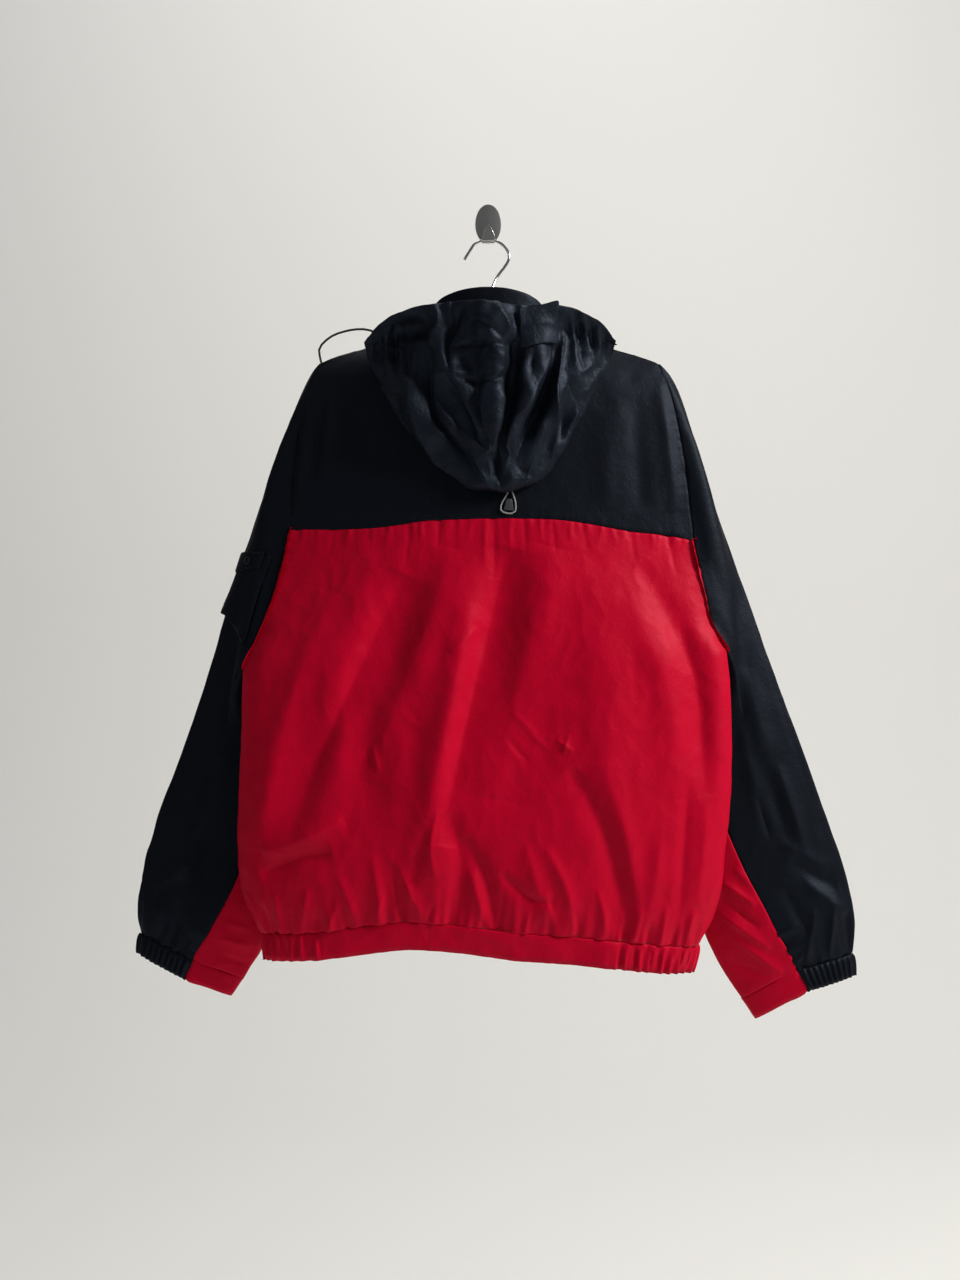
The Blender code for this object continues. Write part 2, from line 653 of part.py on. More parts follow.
def sleeve_point(side, place, along):
    """A point of a sleeve: place runs round it as round the armhole, along is 0 there and 1 at the cuff."""
    guides = SLEEVE_LEFT if side == "left" else SLEEVE_RIGHT
    names = ("outer", "armpit", "seam", "inner")
    first = {name: guide(guides, name, 0) for name in names}
    marks = {name: guide(guides, name, along) for name in names}
    front_start = body_point(*armhole_point(side, FRONT_SEAM_PLACE))
    first["front"] = np.array((front_start.x, front_start.z))
    lag = 1 - ease(along / 0.6)
    marks["front"] = marks["seam"] + (first["front"] - first["seam"]) * lag
    start = body_point(*armhole_point(side, place))
    for begin, end, name_a, name_b, turn_a, turn_b in SLEEVE_SPANS:
        if begin <= place <= end:
            f = (place - begin) / (end - begin)
            flat = mix(marks[name_a], marks[name_b], f)
            bow = np.array((start.x, start.z)) - mix(first[name_a], first[name_b], f)
            flat = flat + bow * (1 - along) ** 3
            if name_a == "outer":
                belly = ease(along / 0.12) * (1 - ease((along - 0.35) / 0.3))
                flat[0] += math.copysign(SLEEVE_BELLY, start.x) * math.sin(math.pi * f * f) * belly
            turn = math.radians(mix(turn_a, turn_b, f))
            break
    swell = math.copysign(abs(math.sin(turn)) ** 0.7, math.sin(turn))
    full = mix(1.0, 1.25, ease((along - 0.7) / 0.2)) * mix(1.0, 0.75, ease((along - 0.93) / 0.07))
    depth = SLEEVE_EDGE_DEPTH - swell * full * (SLEEVE_BACK if swell > 0 else SLEEVE_FRONT)
    depth = mix(start.y, depth, ease(along / 0.28))
    return Vector((flat[0], depth, flat[1]))


def body_owner(column, row_index):
    """The piece that a cell of the body belongs to."""
    above = row_index >= YOKE_ROW
    if column < BACK_CELLS:
        return "back_yoke" if above else "back_panel"
    if column < RIGHT_FRONT or column >= LEFT_FRONT:
        return "back_panel"
    if column == ZIP_COLUMN:
        return "front_zip"
    side = "right" if column < ZIP_COLUMN else "left"
    return f"front_yoke_{side}" if above else f"front_panel_{side}"


def ridge_key(column, row):
    """The key of a body grid point; the ridge's points are shared by back and front."""
    column %= LOOP
    if row == TOP_ROW:
        if RIGHT_FRONT <= column <= RIGHT_FRONT + NECK_COLUMN:
            column = BACK_CELLS - (column - RIGHT_FRONT)
        elif LEFT_FRONT - NECK_COLUMN <= column <= LEFT_FRONT:
            column = LEFT_FRONT - column
    return ("body", column, row)


def add_body(sheet):
    """The body's back, sides and fronts."""
    for row in range(TOP_ROW):
        for column in range(LOOP):
            side_cell = BACK_CELLS <= column < RIGHT_FRONT or column >= LEFT_FRONT
            if row >= ARMPIT_ROW and side_cell:
                continue
            corners = ((column, row), (column + 1, row), (column + 1, row + 1), (column, row + 1))
            sheet.cell(body_owner(column, row),
                       [sheet.at(ridge_key(*c), body_point(*c)) for c in corners])


def add_collar(sheet):
    """The stand collar on the neckline, left open at the top, with the zip up its front."""
    back = [(c, TOP_ROW) for c in range(NECK_COLUMN, BACK_CELLS - NECK_COLUMN + 1)]
    front = [(c, TOP_ROW) for c in range(RIGHT_FRONT + NECK_COLUMN + 1, LEFT_FRONT - NECK_COLUMN)]
    ring = back + front

    def collar_point(column, level):
        base = sheet.points[sheet.at(ridge_key(column, TOP_ROW), body_point(column, TOP_ROW))]
        turn_sin = (base.y - NECK_DEPTH) / (-NECK_BACK if base.y < NECK_DEPTH else NECK_FRONT)
        if base.y < NECK_DEPTH:
            top = COLLAR_SIDE_TOP + COLLAR_BACK_RISE * turn_sin
        else:
            top = COLLAR_SIDE_TOP - COLLAR_FRONT_DROP * turn_sin
        width = 1 - COLLAR_TAPER / NECK_HALF_WIDTH * level
        middle = Vector((0, NECK_DEPTH, 0))
        point = middle + (Vector((base.x, base.y, 0)) - middle) * width
        return Vector((point.x, point.y, mix(base.z, top, level)))

    for level in range(COLLAR_ROWS):
        for i, (column, _) in enumerate(ring):
            after = ring[(i + 1) % len(ring)][0]
            owner = "front_zip" if column == ZIP_COLUMN else "collar"
            corners = []
            for c, step in ((column, level), (after, level), (after, level + 1), (column, level + 1)):
                key = ridge_key(c, TOP_ROW) if step == 0 else ("collar", ridge_key(c, TOP_ROW)[1], step)
                corners.append(sheet.at(key, collar_point(c, step / COLLAR_ROWS)))
            sheet.cell(owner, corners)


def add_sleeve(sheet, side):
    """A sleeve from its armhole to the cuff seam."""
    def key(place, row):
        place %= ARMHOLE_CELLS
        if row == 0:
            return ridge_key(*armhole_point(side, place))
        return ("sleeve", side, place, row)

    for row in range(len(SLEEVE_ROWS) - 1):
        for place in range(ARMHOLE_CELLS):
            red = SEAM_PLACE <= place < FRONT_SEAM_PLACE
            corners = [(place, row), (place + 1, row), (place + 1, row + 1), (place, row + 1)]
            if side == "left":
                corners.reverse()
            indices = [sheet.at(key(p, r), sleeve_point(side, p % ARMHOLE_CELLS, SLEEVE_ROWS[r]))
                       for p, r in corners]
            sheet.cell(f"sleeve_{'under' if red else 'outer'}_{side}", indices)


def band_stops(points, zones, pitch):
    """Places along a loop of points, close together where elastic gathers it."""
    lengths = [(points[(i + 1) % len(points)] - points[i]).length for i in range(len(points))]

    def reach(place):
        whole = int(math.floor(place))
        return (sum(lengths[i % len(points)] for i in range(whole))
                + (place - whole) * lengths[whole % len(points)])

    stops = []
    place = 0.0
    zones = sorted(zones)
    total = len(points)
    wrapped = [(a, b) for a, b in zones] + [(a - total, b - total) for a, b in zones if b > total]
    while place < total - 1e-6:
        zone = next((z for z in wrapped if z[0] - 1e-6 <= place < z[1] - 1e-6), None)
        if zone:
            begin, end = zone
            ribs = max(1, round((reach(end) - reach(begin) if begin >= 0 else reach(end + total)
                                 - reach(begin + total)) / pitch))
            steps = ribs * RIB_STEPS
            index = round((place - begin) / (end - begin) * steps)
            stops.append((place, math.cos(2 * math.pi * index / RIB_STEPS)))
            place = begin + (end - begin) * (index + 1) / steps
        else:
            stops.append((place, -1.0))
            place = math.floor(place + 1e-6) + 1
            ahead = [z[0] for z in wrapped if stops[-1][0] < z[0] < place]
            place = min([place] + ahead)
    return stops


def loop_at(points, place):
    """A point on the straight run between two neighbours of a loop."""
    whole = int(math.floor(place + 1e-9))
    a, b = points[whole % len(points)], points[(whole + 1) % len(points)]
    return a.lerp(b, min(max(place - whole, 0.0), 1.0))


def band_sheet(top, bottom, normals, stops, owner_at):
    """A gathered band between two loops; ribs fade out at its upper seam."""
    sheet = Sheet()
    plain = []
    middle = sum(top, Vector((0, 0, 0))) / len(top)
    for i, (place, wave) in enumerate(stops):
        upper, lower = loop_at(top, place), loop_at(bottom, place)
        outward = loop_at(normals, place).normalized()
        for level, share in enumerate(BAND_ROWS):
            point = upper.lerp(lower, share)
            plain.append(point.copy())
            if level:
                point += outward * RIB_HEIGHT * (1 + wave)
            sheet.at((i, level), point)
    count = len(stops)
    for i in range(count):
        for level in range(len(BAND_ROWS) - 1):
            j = (i + 1) % count
            place_middle = (stops[i][0] + (stops[j][0] if j else len(top))) / 2
            corners = [sheet.at((i, level + 1)), sheet.at((j, level + 1)), sheet.at((j, level)),
                       sheet.at((i, level))]
            sheet.cell(owner_at(place_middle), corners)
    facing = sheet.normals()
    flip = sum((facing[sheet.at((i, 1))].dot(sheet.points[sheet.at((i, 1))] - middle)
                for i in range(count)), 0.0) < 0
    if flip:
        sheet.cells = [tuple(reversed(c)) for c in sheet.cells]
    for i, (place, _) in enumerate(stops):
        for level in range(len(BAND_ROWS)):
            facing[sheet.at((i, level))] = loop_at(normals, place).normalized()
    return sheet, facing, plain


def hem_loops(sheet):
    """The hem's upper loop and its lower edge."""
    top = [sheet.points[sheet.at(ridge_key(c, 0))] for c in range(LOOP)]
    middle = sum(top, Vector((0, 0, 0))) / LOOP
    bottom = []
    for point in top:
        flat = Vector((point.x - middle.x, point.y - middle.y, 0))
        lean = HEM_LEAN_RIGHT * ease((point.x / MM - 130) / 90)
        bottom.append(point - flat.normalized() * HEM_PULL_IN - Vector((lean, 0, HEM_HEIGHT)))
    return top, bottom


def cuff_loops(sheet, side):
    """A cuff's upper loop and its lower edge."""
    last = len(SLEEVE_ROWS) - 1
    top = [sheet.points[sheet.at(("sleeve", side, p, last))] for p in range(ARMHOLE_CELLS)]
    ends = CUFF_LEFT_END if side == "left" else CUFF_RIGHT_END
    corner = {name: np.array(value) * MM for name, value in ends.items()}
    spans = ((0, SEAM_PLACE, "outer", "seam"), (SEAM_PLACE, INNER_PLACE, "seam", "inner"),
             (INNER_PLACE, FRONT_SEAM_PLACE, "inner", "seam"),
             (FRONT_SEAM_PLACE, ARMHOLE_CELLS, "seam", "outer"))
    bottom = []
    for place, point in enumerate(top):
        for begin, end, name_a, name_b in spans:
            if begin <= place < end:
                flat = mix(corner[name_a], corner[name_b], (place - begin) / (end - begin))
        bottom.append(Vector((flat[0], point.y, flat[1])))
    return top, bottom


def build_shell():
    """The body, collar and sleeves as one sheet."""
    sheet = Sheet()
    add_body(sheet)
    add_collar(sheet)
    for side in ("left", "right"):
        add_sleeve(sheet, side)
    return sheet


def add_band_cells(sheet, loops, keys, name, flip=False, zip_column=None):
    """Cells below a seam, so that both sides of it lean the same way; only the zip's is a piece."""
    top, bottom = loops
    count = len(top)
    for i in range(count):
        j = (i + 1) % count
        corners = [sheet.at((name, i), bottom[i]), sheet.at((name, j), bottom[j]),
                   sheet.at(keys[j]), sheet.at(keys[i])]
        if flip:
            corners.reverse()
        sheet.cell("front_zip" if i == zip_column else None, corners)


def make_shell_pieces():
    """Every sewn piece of the body, the sleeves, the collar and the elastic bands."""
    sheet = build_shell()
    hem = hem_loops(sheet)
    hem_keys = [ridge_key(c, 0) for c in range(LOOP)]
    add_band_cells(sheet, hem, hem_keys, "hem_below", zip_column=ZIP_COLUMN)
    cuffs = {}
    last = len(SLEEVE_ROWS) - 1
    for side in ("left", "right"):
        cuffs[side] = cuff_loops(sheet, side)
        keys = [("sleeve", side, p, last) for p in range(ARMHOLE_CELLS)]
        add_band_cells(sheet, cuffs[side], keys, "cuff_below_" + side, flip=(side == "right"))
    shared = sheet.lean()
    finishes = {
        "back_yoke": "black_nylon", "back_panel": "red_nylon",
        "front_yoke_left": "black_nylon", "front_yoke_right": "black_nylon",
        "front_panel_left": "red_nylon", "front_panel_right": "red_nylon",
        "collar": "black_nylon",
        "sleeve_outer_left": "black_nylon", "sleeve_outer_right": "black_nylon",
        "sleeve_under_left": "red_nylon", "sleeve_under_right": "red_nylon",
    }
    for name, finish in finishes.items():
        add_object(name, piece_solid(sheet, name, CLOTH, shared), finish)

    hem_normals = [shared[sheet.at(k)] for k in hem_keys]
    stops = band_stops(hem[0], HEM_ELASTIC, HEM_RIB_PITCH)

    def hem_owner(place):
        return "front_zip" if ZIP_COLUMN <= place < ZIP_COLUMN + 1 else "hem_band"

    band, facing, plain = band_sheet(hem[0], hem[1], hem_normals, stops, hem_owner)
    add_object("hem_band", piece_solid(band, "hem_band", BAND_CLOTH, facing, plain), "red_nylon")
    add_object("front_zip", piece_solid(sheet, "front_zip", CLOTH, shared), "black_nylon")

    for side in ("left", "right"):
        keys = [("sleeve", side, p, last) for p in range(ARMHOLE_CELLS)]
        normals = [shared[sheet.at(k)] for k in keys]
        top, bottom = cuffs[side]
        stops = band_stops(top, ((0.0, SEAM_PLACE), (FRONT_SEAM_PLACE, ARMHOLE_CELLS)), CUFF_RIB_PITCH)

        def cuff_owner(place, side=side):
            red = SEAM_PLACE <= place < FRONT_SEAM_PLACE
            return f"cuff_{'under' if red else 'outer'}_{side}"

        band, facing, plain = band_sheet(top, bottom, normals, stops, cuff_owner)
        add_object(f"cuff_outer_{side}", piece_solid(band, f"cuff_outer_{side}", BAND_CLOTH, facing, plain),
                   "black_nylon")
        add_object(f"cuff_under_{side}", piece_solid(band, f"cuff_under_{side}", BAND_CLOTH, facing, plain),
                   "red_nylon")
    return sheet


def surface_of(sheet, owners=None):
    """A tree of the outer face of some pieces, or of all, for finding depths."""
    polygons = [c for c, name in zip(sheet.cells, sheet.owners)
                if name and (owners is None or name in owners)]
    triangles = [t for a, b, c, d in polygons for t in ((a, b, c), (a, c, d)) if len(set(t)) == 3]
    return BVHTree.FromPolygons([p[:] for p in sheet.points], triangles)


def depth_at(tree, x, z, facing=-1):
    """Depth of the first cloth met at a place, from the back or, with facing 1, from the wall."""
    hit = tree.ray_cast(Vector((x, facing * 0.5, z)), Vector((0, -facing, 0)))
    return hit[0].y if hit[0] is not None else None


def lifted(tree, x, z, lift, facing=-1):
    """The first cloth met at a place, or a little below where the place is past it, and lifted off."""
    for _ in range(60):
        hit, normal, _, _ = tree.ray_cast(Vector((x, facing * 0.5, z)), Vector((0, -facing, 0)))
        if hit is not None:
            if normal.y * facing < 0:
                normal = -normal
            return hit + normal * lift
        z -= 0.5 * MM
    return Vector((x, RIDGE_DEPTH + facing * lift, z))


def hood_fold(x, z):
    """How far the hood's folds stand out at a place."""
    across, up = x / MM - HOOD_FOLD_POINT[0], z / MM - HOOD_FOLD_POINT[1]
    angle, reach = math.degrees(math.atan2(across, up)), math.hypot(across, up)
    lift = 0.0
    for centre, width, height, near, far in HOOD_FOLDS:
        fade = ease((reach - near) / 40) * ease((far - reach) / 60)
        lift += height * fade * math.exp(-((angle - centre) / width) ** 2)
    return lift * MM


def hood_place(across, down, upper):
    """A place on the hood as x and z, between its sides, its bottom and one of its upper edges."""
    up = 1 - down
    left = (HOOD_SIDE["left_x"](up), HOOD_SIDE["left_z"](up))
    right = (HOOD_SIDE["right_x"](up), HOOD_SIDE["right_z"](up))
    top_x = mix(HOOD_SIDE["left_x"](1), HOOD_SIDE["right_x"](1), across)
    rise = upper(top_x / MM) - mix(HOOD_SIDE["left_z"](1), HOOD_SIDE["right_z"](1), across)
    sag = HOOD_BOTTOM["height"](across) - mix(HOOD_SIDE["left_z"](0), HOOD_SIDE["right_z"](0), across)
    x = mix(left[0], right[0], across)
    return x, mix(left[1], right[1], across) + rise * up ** 1.4 + sag * down ** 3


def hood_sheet(yoke):
    """The hood hanging down the back as an open bag, its inner layer on the yoke."""
    sheet = Sheet()
    columns, rows = HOOD_COLUMNS, HOOD_ROWS
    for row in range(rows + 1):
        down = row / rows
        for column in range(columns + 1):
            across = (1 - math.cos(math.pi * column / columns)) / 2
            across = mix(column / columns, across, 0.45)
            roll = 1 - abs(2 * across - 1) ** 2.6
            x, z = hood_place(across, down, HOOD_RIM["height"])
            side = lifted(yoke, x, z, HOOD_LIFT).y - HOOD_EDGE_LIFT
            side = min(side, mix(HOOD_EDGE_DEPTH, side, ease(down / 0.3)))
            rim_x = mix(HOOD_SIDE["left_x"](1), HOOD_SIDE["right_x"](1), across)
            rim = HOOD_RIM["depth"](rim_x / MM) - HOOD_EDGE_DEPTH
            foot = HOOD_FOOT_DEPTH * ease(down)
            bulge = HOOD_BULGE * math.sin(math.pi * min(1.0, 0.15 + 0.85 * down)) ** 0.8
            y = side + rim * (1 - down) ** 1.2 - (foot + bulge) * roll ** 0.75
            y -= hood_fold(x, z) * min(1.0, 3 * roll)
            sheet.at(("out", row, column), (x, y, z))
            if 0 < column < columns:
                x, z = hood_place(across, down, HOOD_NECK["height"])
                flat = lifted(yoke, x, z, HOOD_LIFT + HOOD_NECK_LIFT * ease(1 - 3 * down))
                flat.y -= max(flat.y - side, 0.0) * (1 - roll) ** 1.5
                sheet.at(("in", row, column), flat)

    def key(layer, row, column):
        return (layer if 0 < column < columns else "out", row, column)

    for row in range(rows):
        for column in range(columns):
            outside = [("out", row + 1, column), ("out", row + 1, column + 1),
                       ("out", row, column + 1), ("out", row, column)]
            sheet.cell("hood", [sheet.at(k) for k in outside])
            inside = [key("in", row + 1, column + 1), key("in", row + 1, column),
                      key("in", row, column), key("in", row, column + 1)]
            sheet.cell("hood", [sheet.at(k) for k in inside])
    for column in range(columns):
        foot = [key("in", rows, column), key("in", rows, column + 1),
                ("out", rows, column + 1), ("out", rows, column)]
        sheet.cell("hood", [sheet.at(k) for k in foot])
    return sheet


def grid_piece(name, rows, finish, thickness=CLOTH):
    """A piece from rows of points, running down the sheet, each row from left to right."""
    sheet = Sheet()
    for r, row in enumerate(rows):
        for c, point in enumerate(row):
            sheet.at((r, c), point)
    for r in range(len(rows) - 1):
        for c in range(len(rows[0]) - 1):
            sheet.cell(name, [sheet.at(k) for k in ((r + 1, c), (r + 1, c + 1), (r, c + 1), (r, c))])
    return add_object(name, piece_solid(sheet, name, thickness), finish)


def make_hood(shell):
    """The hood and the flap on it."""
    yoke = surface_of(shell, {"back_yoke", "back_panel"})
    sheet = hood_sheet(yoke)
    add_object("hood", piece_solid(sheet, "hood", HOOD_CLOTH), "black_hood_nylon")
    outside = surface_of(sheet)
    corners = [np.array(c) * MM for c in HOOD_TAB]
    rows = []
    for down in np.linspace(0, 1, 6):
        row = []
        for across in np.linspace(0, 1, 5):
            x, z = mix(mix(corners[0], corners[1], across), mix(corners[3], corners[2], across), down)
            depth = min(lifted(outside, x + dx * MM, z, 0).y for dx in (-4, 0, 4))
            row.append((x, depth - HOOD_TAB_LIFT, z))
        rows.append(row)
    grid_piece("hood_tab", rows, "black_hood_nylon", HOOD_CLOTH)
    return outside


def make_pocket(shell):
    """The pocket on the left sleeve's outer edge, its flap and its snap."""
    sleeve = surface_of(shell, {"sleeve_outer_left", "sleeve_under_left"})

    def edge_x(z):
        """The sleeve's outer edge at a height."""
        low, high = -0.45, -0.23
        for _ in range(18):
            middle = (low + high) / 2
            if depth_at(sleeve, middle, z) is None:
                low = middle
            else:
                high = middle
        return high

    def wrapped(inward, z, lift):
        edge = edge_x(z)
        if inward == 0:
            return Vector((edge - lift, SLEEVE_EDGE_DEPTH, z))
        return lifted(sleeve, edge + abs(inward) * MM, z, lift, -1 if inward > 0 else 1)

    def patch(name, steps, edges, lift, puff, levels):
        rows = []
        for level in levels:
            rows.append([wrapped(s, mix(edges["top"](s), edges["bottom"](s), level),
                                 lift + puff * level ** 2 * (1 - abs(s) / 36))
                         for s in steps])
        grid_piece(name, rows, "black_nylon")
        return rows

    patch("sleeve_pocket", POCKET_STEPS, POCKET_EDGES, POCKET_LIFT, POCKET_PUFF, (0, .25, .5, .75, 1))
    rows = patch("pocket_flap", FLAP_STEPS, FLAP_EDGES, FLAP_LIFT, 0, (0, .5, 1))
    middle = rows[1][FLAP_STEPS.index(12)]
    beside, below = rows[1][FLAP_STEPS.index(20)], rows[2][FLAP_STEPS.index(12)]
    facing = (beside - middle).cross(below - middle).normalized()
    if facing.y > 0:
        facing.negate()
    add_object("pocket_snap", turned_disc(middle + facing * 0.5 * MM, facing), "steel")


def turned_disc(foot, facing):
    """A low domed disc standing on a foot point."""
    mesh = bmesh.new()
    turn = Vector((0, 0, 1)).rotation_difference(facing)
    profile = ((SNAP_RADIUS, 0.0), (SNAP_RADIUS, 0.5), (0.8 * SNAP_RADIUS, 0.85), (0.45 * SNAP_RADIUS, 1.0))
    rings = []
    for radius, height in profile:
        ring = []
        for k in range(20):
            angle = 2 * math.pi * k / 20
            local = Vector((radius * math.cos(angle), radius * math.sin(angle), height * SNAP_HEIGHT))
            ring.append(mesh.verts.new(foot + turn @ local))
        rings.append(ring)
    for a, b in zip(rings, rings[1:]):
        for k in range(20):
            mesh.faces.new((a[k], a[(k + 1) % 20], b[(k + 1) % 20], b[k]))
    mesh.faces.new(list(reversed(rings[0])))
    mesh.faces.new(rings[-1])
    return mesh


def route_points(route, step):
    """Evenly spaced points on a smooth curve through a route given in millimetres."""
    marks = [Vector(p) * MM for p in route]
    reach = [0.0]
    for a, b in zip(marks, marks[1:]):
        reach.append(reach[-1] + (b - a).length)
    lines = [smooth(reach, [m[k] for m in marks]) for k in range(3)]
    count = max(2, round(reach[-1] / step))
    return [Vector([line(reach[-1] * i / count) for line in lines]) for i in range(count + 1)]


def add_cord(name, points, radius, finish, resolution):
    """A round cord with closed ends along a line of points."""
    curve = bpy.data.curves.new(name, "CURVE")
    curve.dimensions = "3D"
    curve.bevel_depth = radius
    curve.bevel_resolution = resolution
    curve.use_fill_caps = True
    line = curve.splines.new("POLY")
    line.points.add(len(points) - 1)
    for spot, point in zip(line.points, points):
        spot.co = (*point, 1.0)
    return add_object(name, curve, finish)


def rod(points, radius, sides):
    """A round bar along a line of points, closed at both ends."""
    mesh = bmesh.new()
    rings = []
    side = Vector((0, 1, 0))
    for i, point in enumerate(points):
        before, after = points[max(i - 1, 0)], points[min(i + 1, len(points) - 1)]
        along = (after - before).normalized()
        side = (side - along * side.dot(along)).normalized()
        over = along.cross(side)
        rings.append([mesh.verts.new(point + (side * math.cos(a) + over * math.sin(a)) * radius)
                      for a in (2 * math.pi * k / sides for k in range(sides))])
    for a, b in zip(rings, rings[1:]):
        for k in range(sides):
            mesh.faces.new((a[k], a[(k + 1) % sides], b[(k + 1) % sides], b[k]))
    mesh.faces.new(list(reversed(rings[0])))
    mesh.faces.new(rings[-1])
    return mesh


def slab(outline, low, high):
    """A flat piece whose outline, in x and z, is drawn out from one depth to another."""
    mesh = bmesh.new()
    a = [mesh.verts.new((x, low, z)) for x, z in outline]
    b = [mesh.verts.new((x, high, z)) for x, z in outline]
    count = len(outline)
    for k in range(count):
        mesh.faces.new((a[k], b[k], b[(k + 1) % count], a[(k + 1) % count]))
    mesh.faces.new(a)
    mesh.faces.new(list(reversed(b)))
    bmesh.ops.recalc_face_normals(mesh, faces=mesh.faces)
    return mesh


def make_cords(shell):
    """The hood's drawcord and the pull loop with its grip below the hood."""
    front = surface_of(shell, {"front_yoke_left"})
    route = list(HOOD_CORD[:HOOD_CORD_ON_YOKE])
    for x, _, z in HOOD_CORD[HOOD_CORD_ON_YOKE:]:
        route.append(lifted(front, x * MM, z * MM, CORD_RADIUS + CORD_REST, facing=1) / MM)
    add_cord("hood_cord", route_points(route, 3 * 2 * CORD_RADIUS), CORD_RADIUS, "black_cord", 2)
    yoke = surface_of(shell, {"back_yoke"})
    lift = LOOP_RADIUS + 0.9 * MM
    route = [(x, depth_at(yoke, x * MM, z * MM) / MM - lift / MM, z) for x, z in PULL_LOOP]
    add_cord("pull_loop", route_points(route, 2.5 * 2 * LOOP_RADIUS), LOOP_RADIUS, "pale_cord", 2)
    outline = [(x * MM, z * MM) for x, z in GRIP_OUTLINE]
    middle = min(depth_at(yoke, x, z) for x, z in outline) - 0.6 * MM
    add_object("pull_grip", slab(outline, middle - GRIP_THICKNESS, middle), "rubber")


def make_hanger():
    """The hanger's arms under the shoulders and its wire hook."""
    points = []
    for i in range(-17, 18):
        x = HANGER_REACH * i / 17
        dip = math.exp(-((abs(x) - NECK_HALF_WIDTH) / (18 * MM)) ** 2) * HANGER_DIP
        height = RIDGE["height"](abs(x) / MM) - HANGER_DROP - dip
        hump = ease(1 - abs(x) / NECK_HALF_WIDTH)
        points.append(Vector((x, HANGER_DEPTH - dip, mix(height, HANGER_TOP, hump))))
    add_object("hanger_arms", rod(points, HANGER_RADIUS, 10), "hanger_plastic")
    route = route_points(HOOK_ROUTE, 4.5 * MM)
    foot = Vector((0, HANGER_DEPTH, HANGER_TOP + HANGER_RADIUS + HOOK_FOOT))
    add_object("hanger_hook", rod(route + [foot], HOOK_WIRE_RADIUS, 8), "chrome")


def make_wall_hook():
    """The oval plate on the wall and the tongue that the hanger's wire rests in."""
    outline = [(PLATE_HALF_WIDTH * math.cos(a), PLATE_HALF_HEIGHT * math.sin(a))
               for a in (2 * math.pi * k / PLATE_SIDES for k in range(PLATE_SIDES))]
    add_object("wall_plate", slab(outline, -PLATE_THICKNESS, 0), "steel")
    back = -PLATE_THICKNESS - TONGUE_REST
    # outer line of the tongue from the plate, down, forward and up to its lip, with half widths
    line = [(back, -9.0, 5.0), (back, -14.0, 5.6), (back - 0.3 * MM, -17.5, 6.2),
            (back - 1.3 * MM, -21.6, 6.6), (back - 3.2 * MM, -23.3, 6.8), (-5.9 * MM, -23.7, 7.0),
            (-7.8 * MM, -23.2, 7.0), (-9.4 * MM, -21.4, 7.0), (-9.9 * MM, -17.6, 6.9),
            (-10.1 * MM, -14.0, 6.4), (-10.2 * MM, -10.0, 5.2), (-10.3 * MM, -6.0, 3.4),
            (-10.4 * MM, -3.6, 1.8), (-10.45 * MM, -2.6, 0.7)]
    mesh = bmesh.new()
    rings = []
    for i, (y, z, half) in enumerate(line):
        before, after = line[max(i - 1, 0)], line[min(i + 1, len(line) - 1)]
        along = Vector((0, after[0] - before[0], (after[1] - before[1]) * MM)).normalized()
        inward = Vector((0, -along.z, along.y)) * -1
        near = Vector((0, y, z * MM))
        far = near + inward * TONGUE_THICKNESS
        rings.append([mesh.verts.new(p + Vector((s * half * MM, 0, 0)))
                      for p, s in ((near, -1), (near, 1), (far, 1), (far, -1))])
    for a, b in zip(rings, rings[1:]):
        for k in range(4):
            mesh.faces.new((a[k], a[(k + 1) % 4], b[(k + 1) % 4], b[k]))
    mesh.faces.new(rings[0])
    mesh.faces.new(list(reversed(rings[-1])))
    bmesh.ops.recalc_face_normals(mesh, faces=mesh.faces)
    add_object("wall_tongue", mesh, "chrome")


def make_zip():
    """The zip's slider, closed under the chin, its bridge and the pull tab that hangs from it."""
    top, bottom = SLIDER_HEIGHT + SLIDER_LENGTH / 2, SLIDER_HEIGHT - SLIDER_LENGTH / 2
    outer = SLIDER_HALF_WIDTH
    outline = [(-outer, top), (outer, top), (outer, SLIDER_HEIGHT), (0.7 * outer, bottom),
               (-0.7 * outer, bottom), (-outer, SLIDER_HEIGHT)]
    add_object("zip_slider", slab(outline, SLIDER_BACK, SLIDER_FRONT), "chrome")
    foot, end = SLIDER_FRONT + BRIDGE_REST, BRIDGE_END
    half, inside = BRIDGE_HALF_LENGTH, BRIDGE_HALF_LENGTH - BRIDGE_WALL
    arch = [(foot, -half), (end, -half), (end, half), (foot, half), (foot, inside),
            (end - BRIDGE_WALL, inside), (end - BRIDGE_WALL, -inside), (foot, -inside)]
    mesh = bmesh.new()
    sides = [[mesh.verts.new((s * BRIDGE_HALF_WIDTH, y, z + SLIDER_HEIGHT)) for y, z in arch]
             for s in (-1, 1)]
    for k in range(len(arch)):
        j = (k + 1) % len(arch)
        mesh.faces.new((sides[0][k], sides[0][j], sides[1][j], sides[1][k]))
    for side in sides:
        mesh.faces.new((side[0], side[1], side[6], side[7]))
        mesh.faces.new((side[1], side[2], side[5], side[6]))
        mesh.faces.new((side[2], side[3], side[4], side[5]))
    bmesh.ops.recalc_face_normals(mesh, faces=mesh.faces)
    add_object("zip_bridge", mesh, "chrome")
    make_pull_tab()


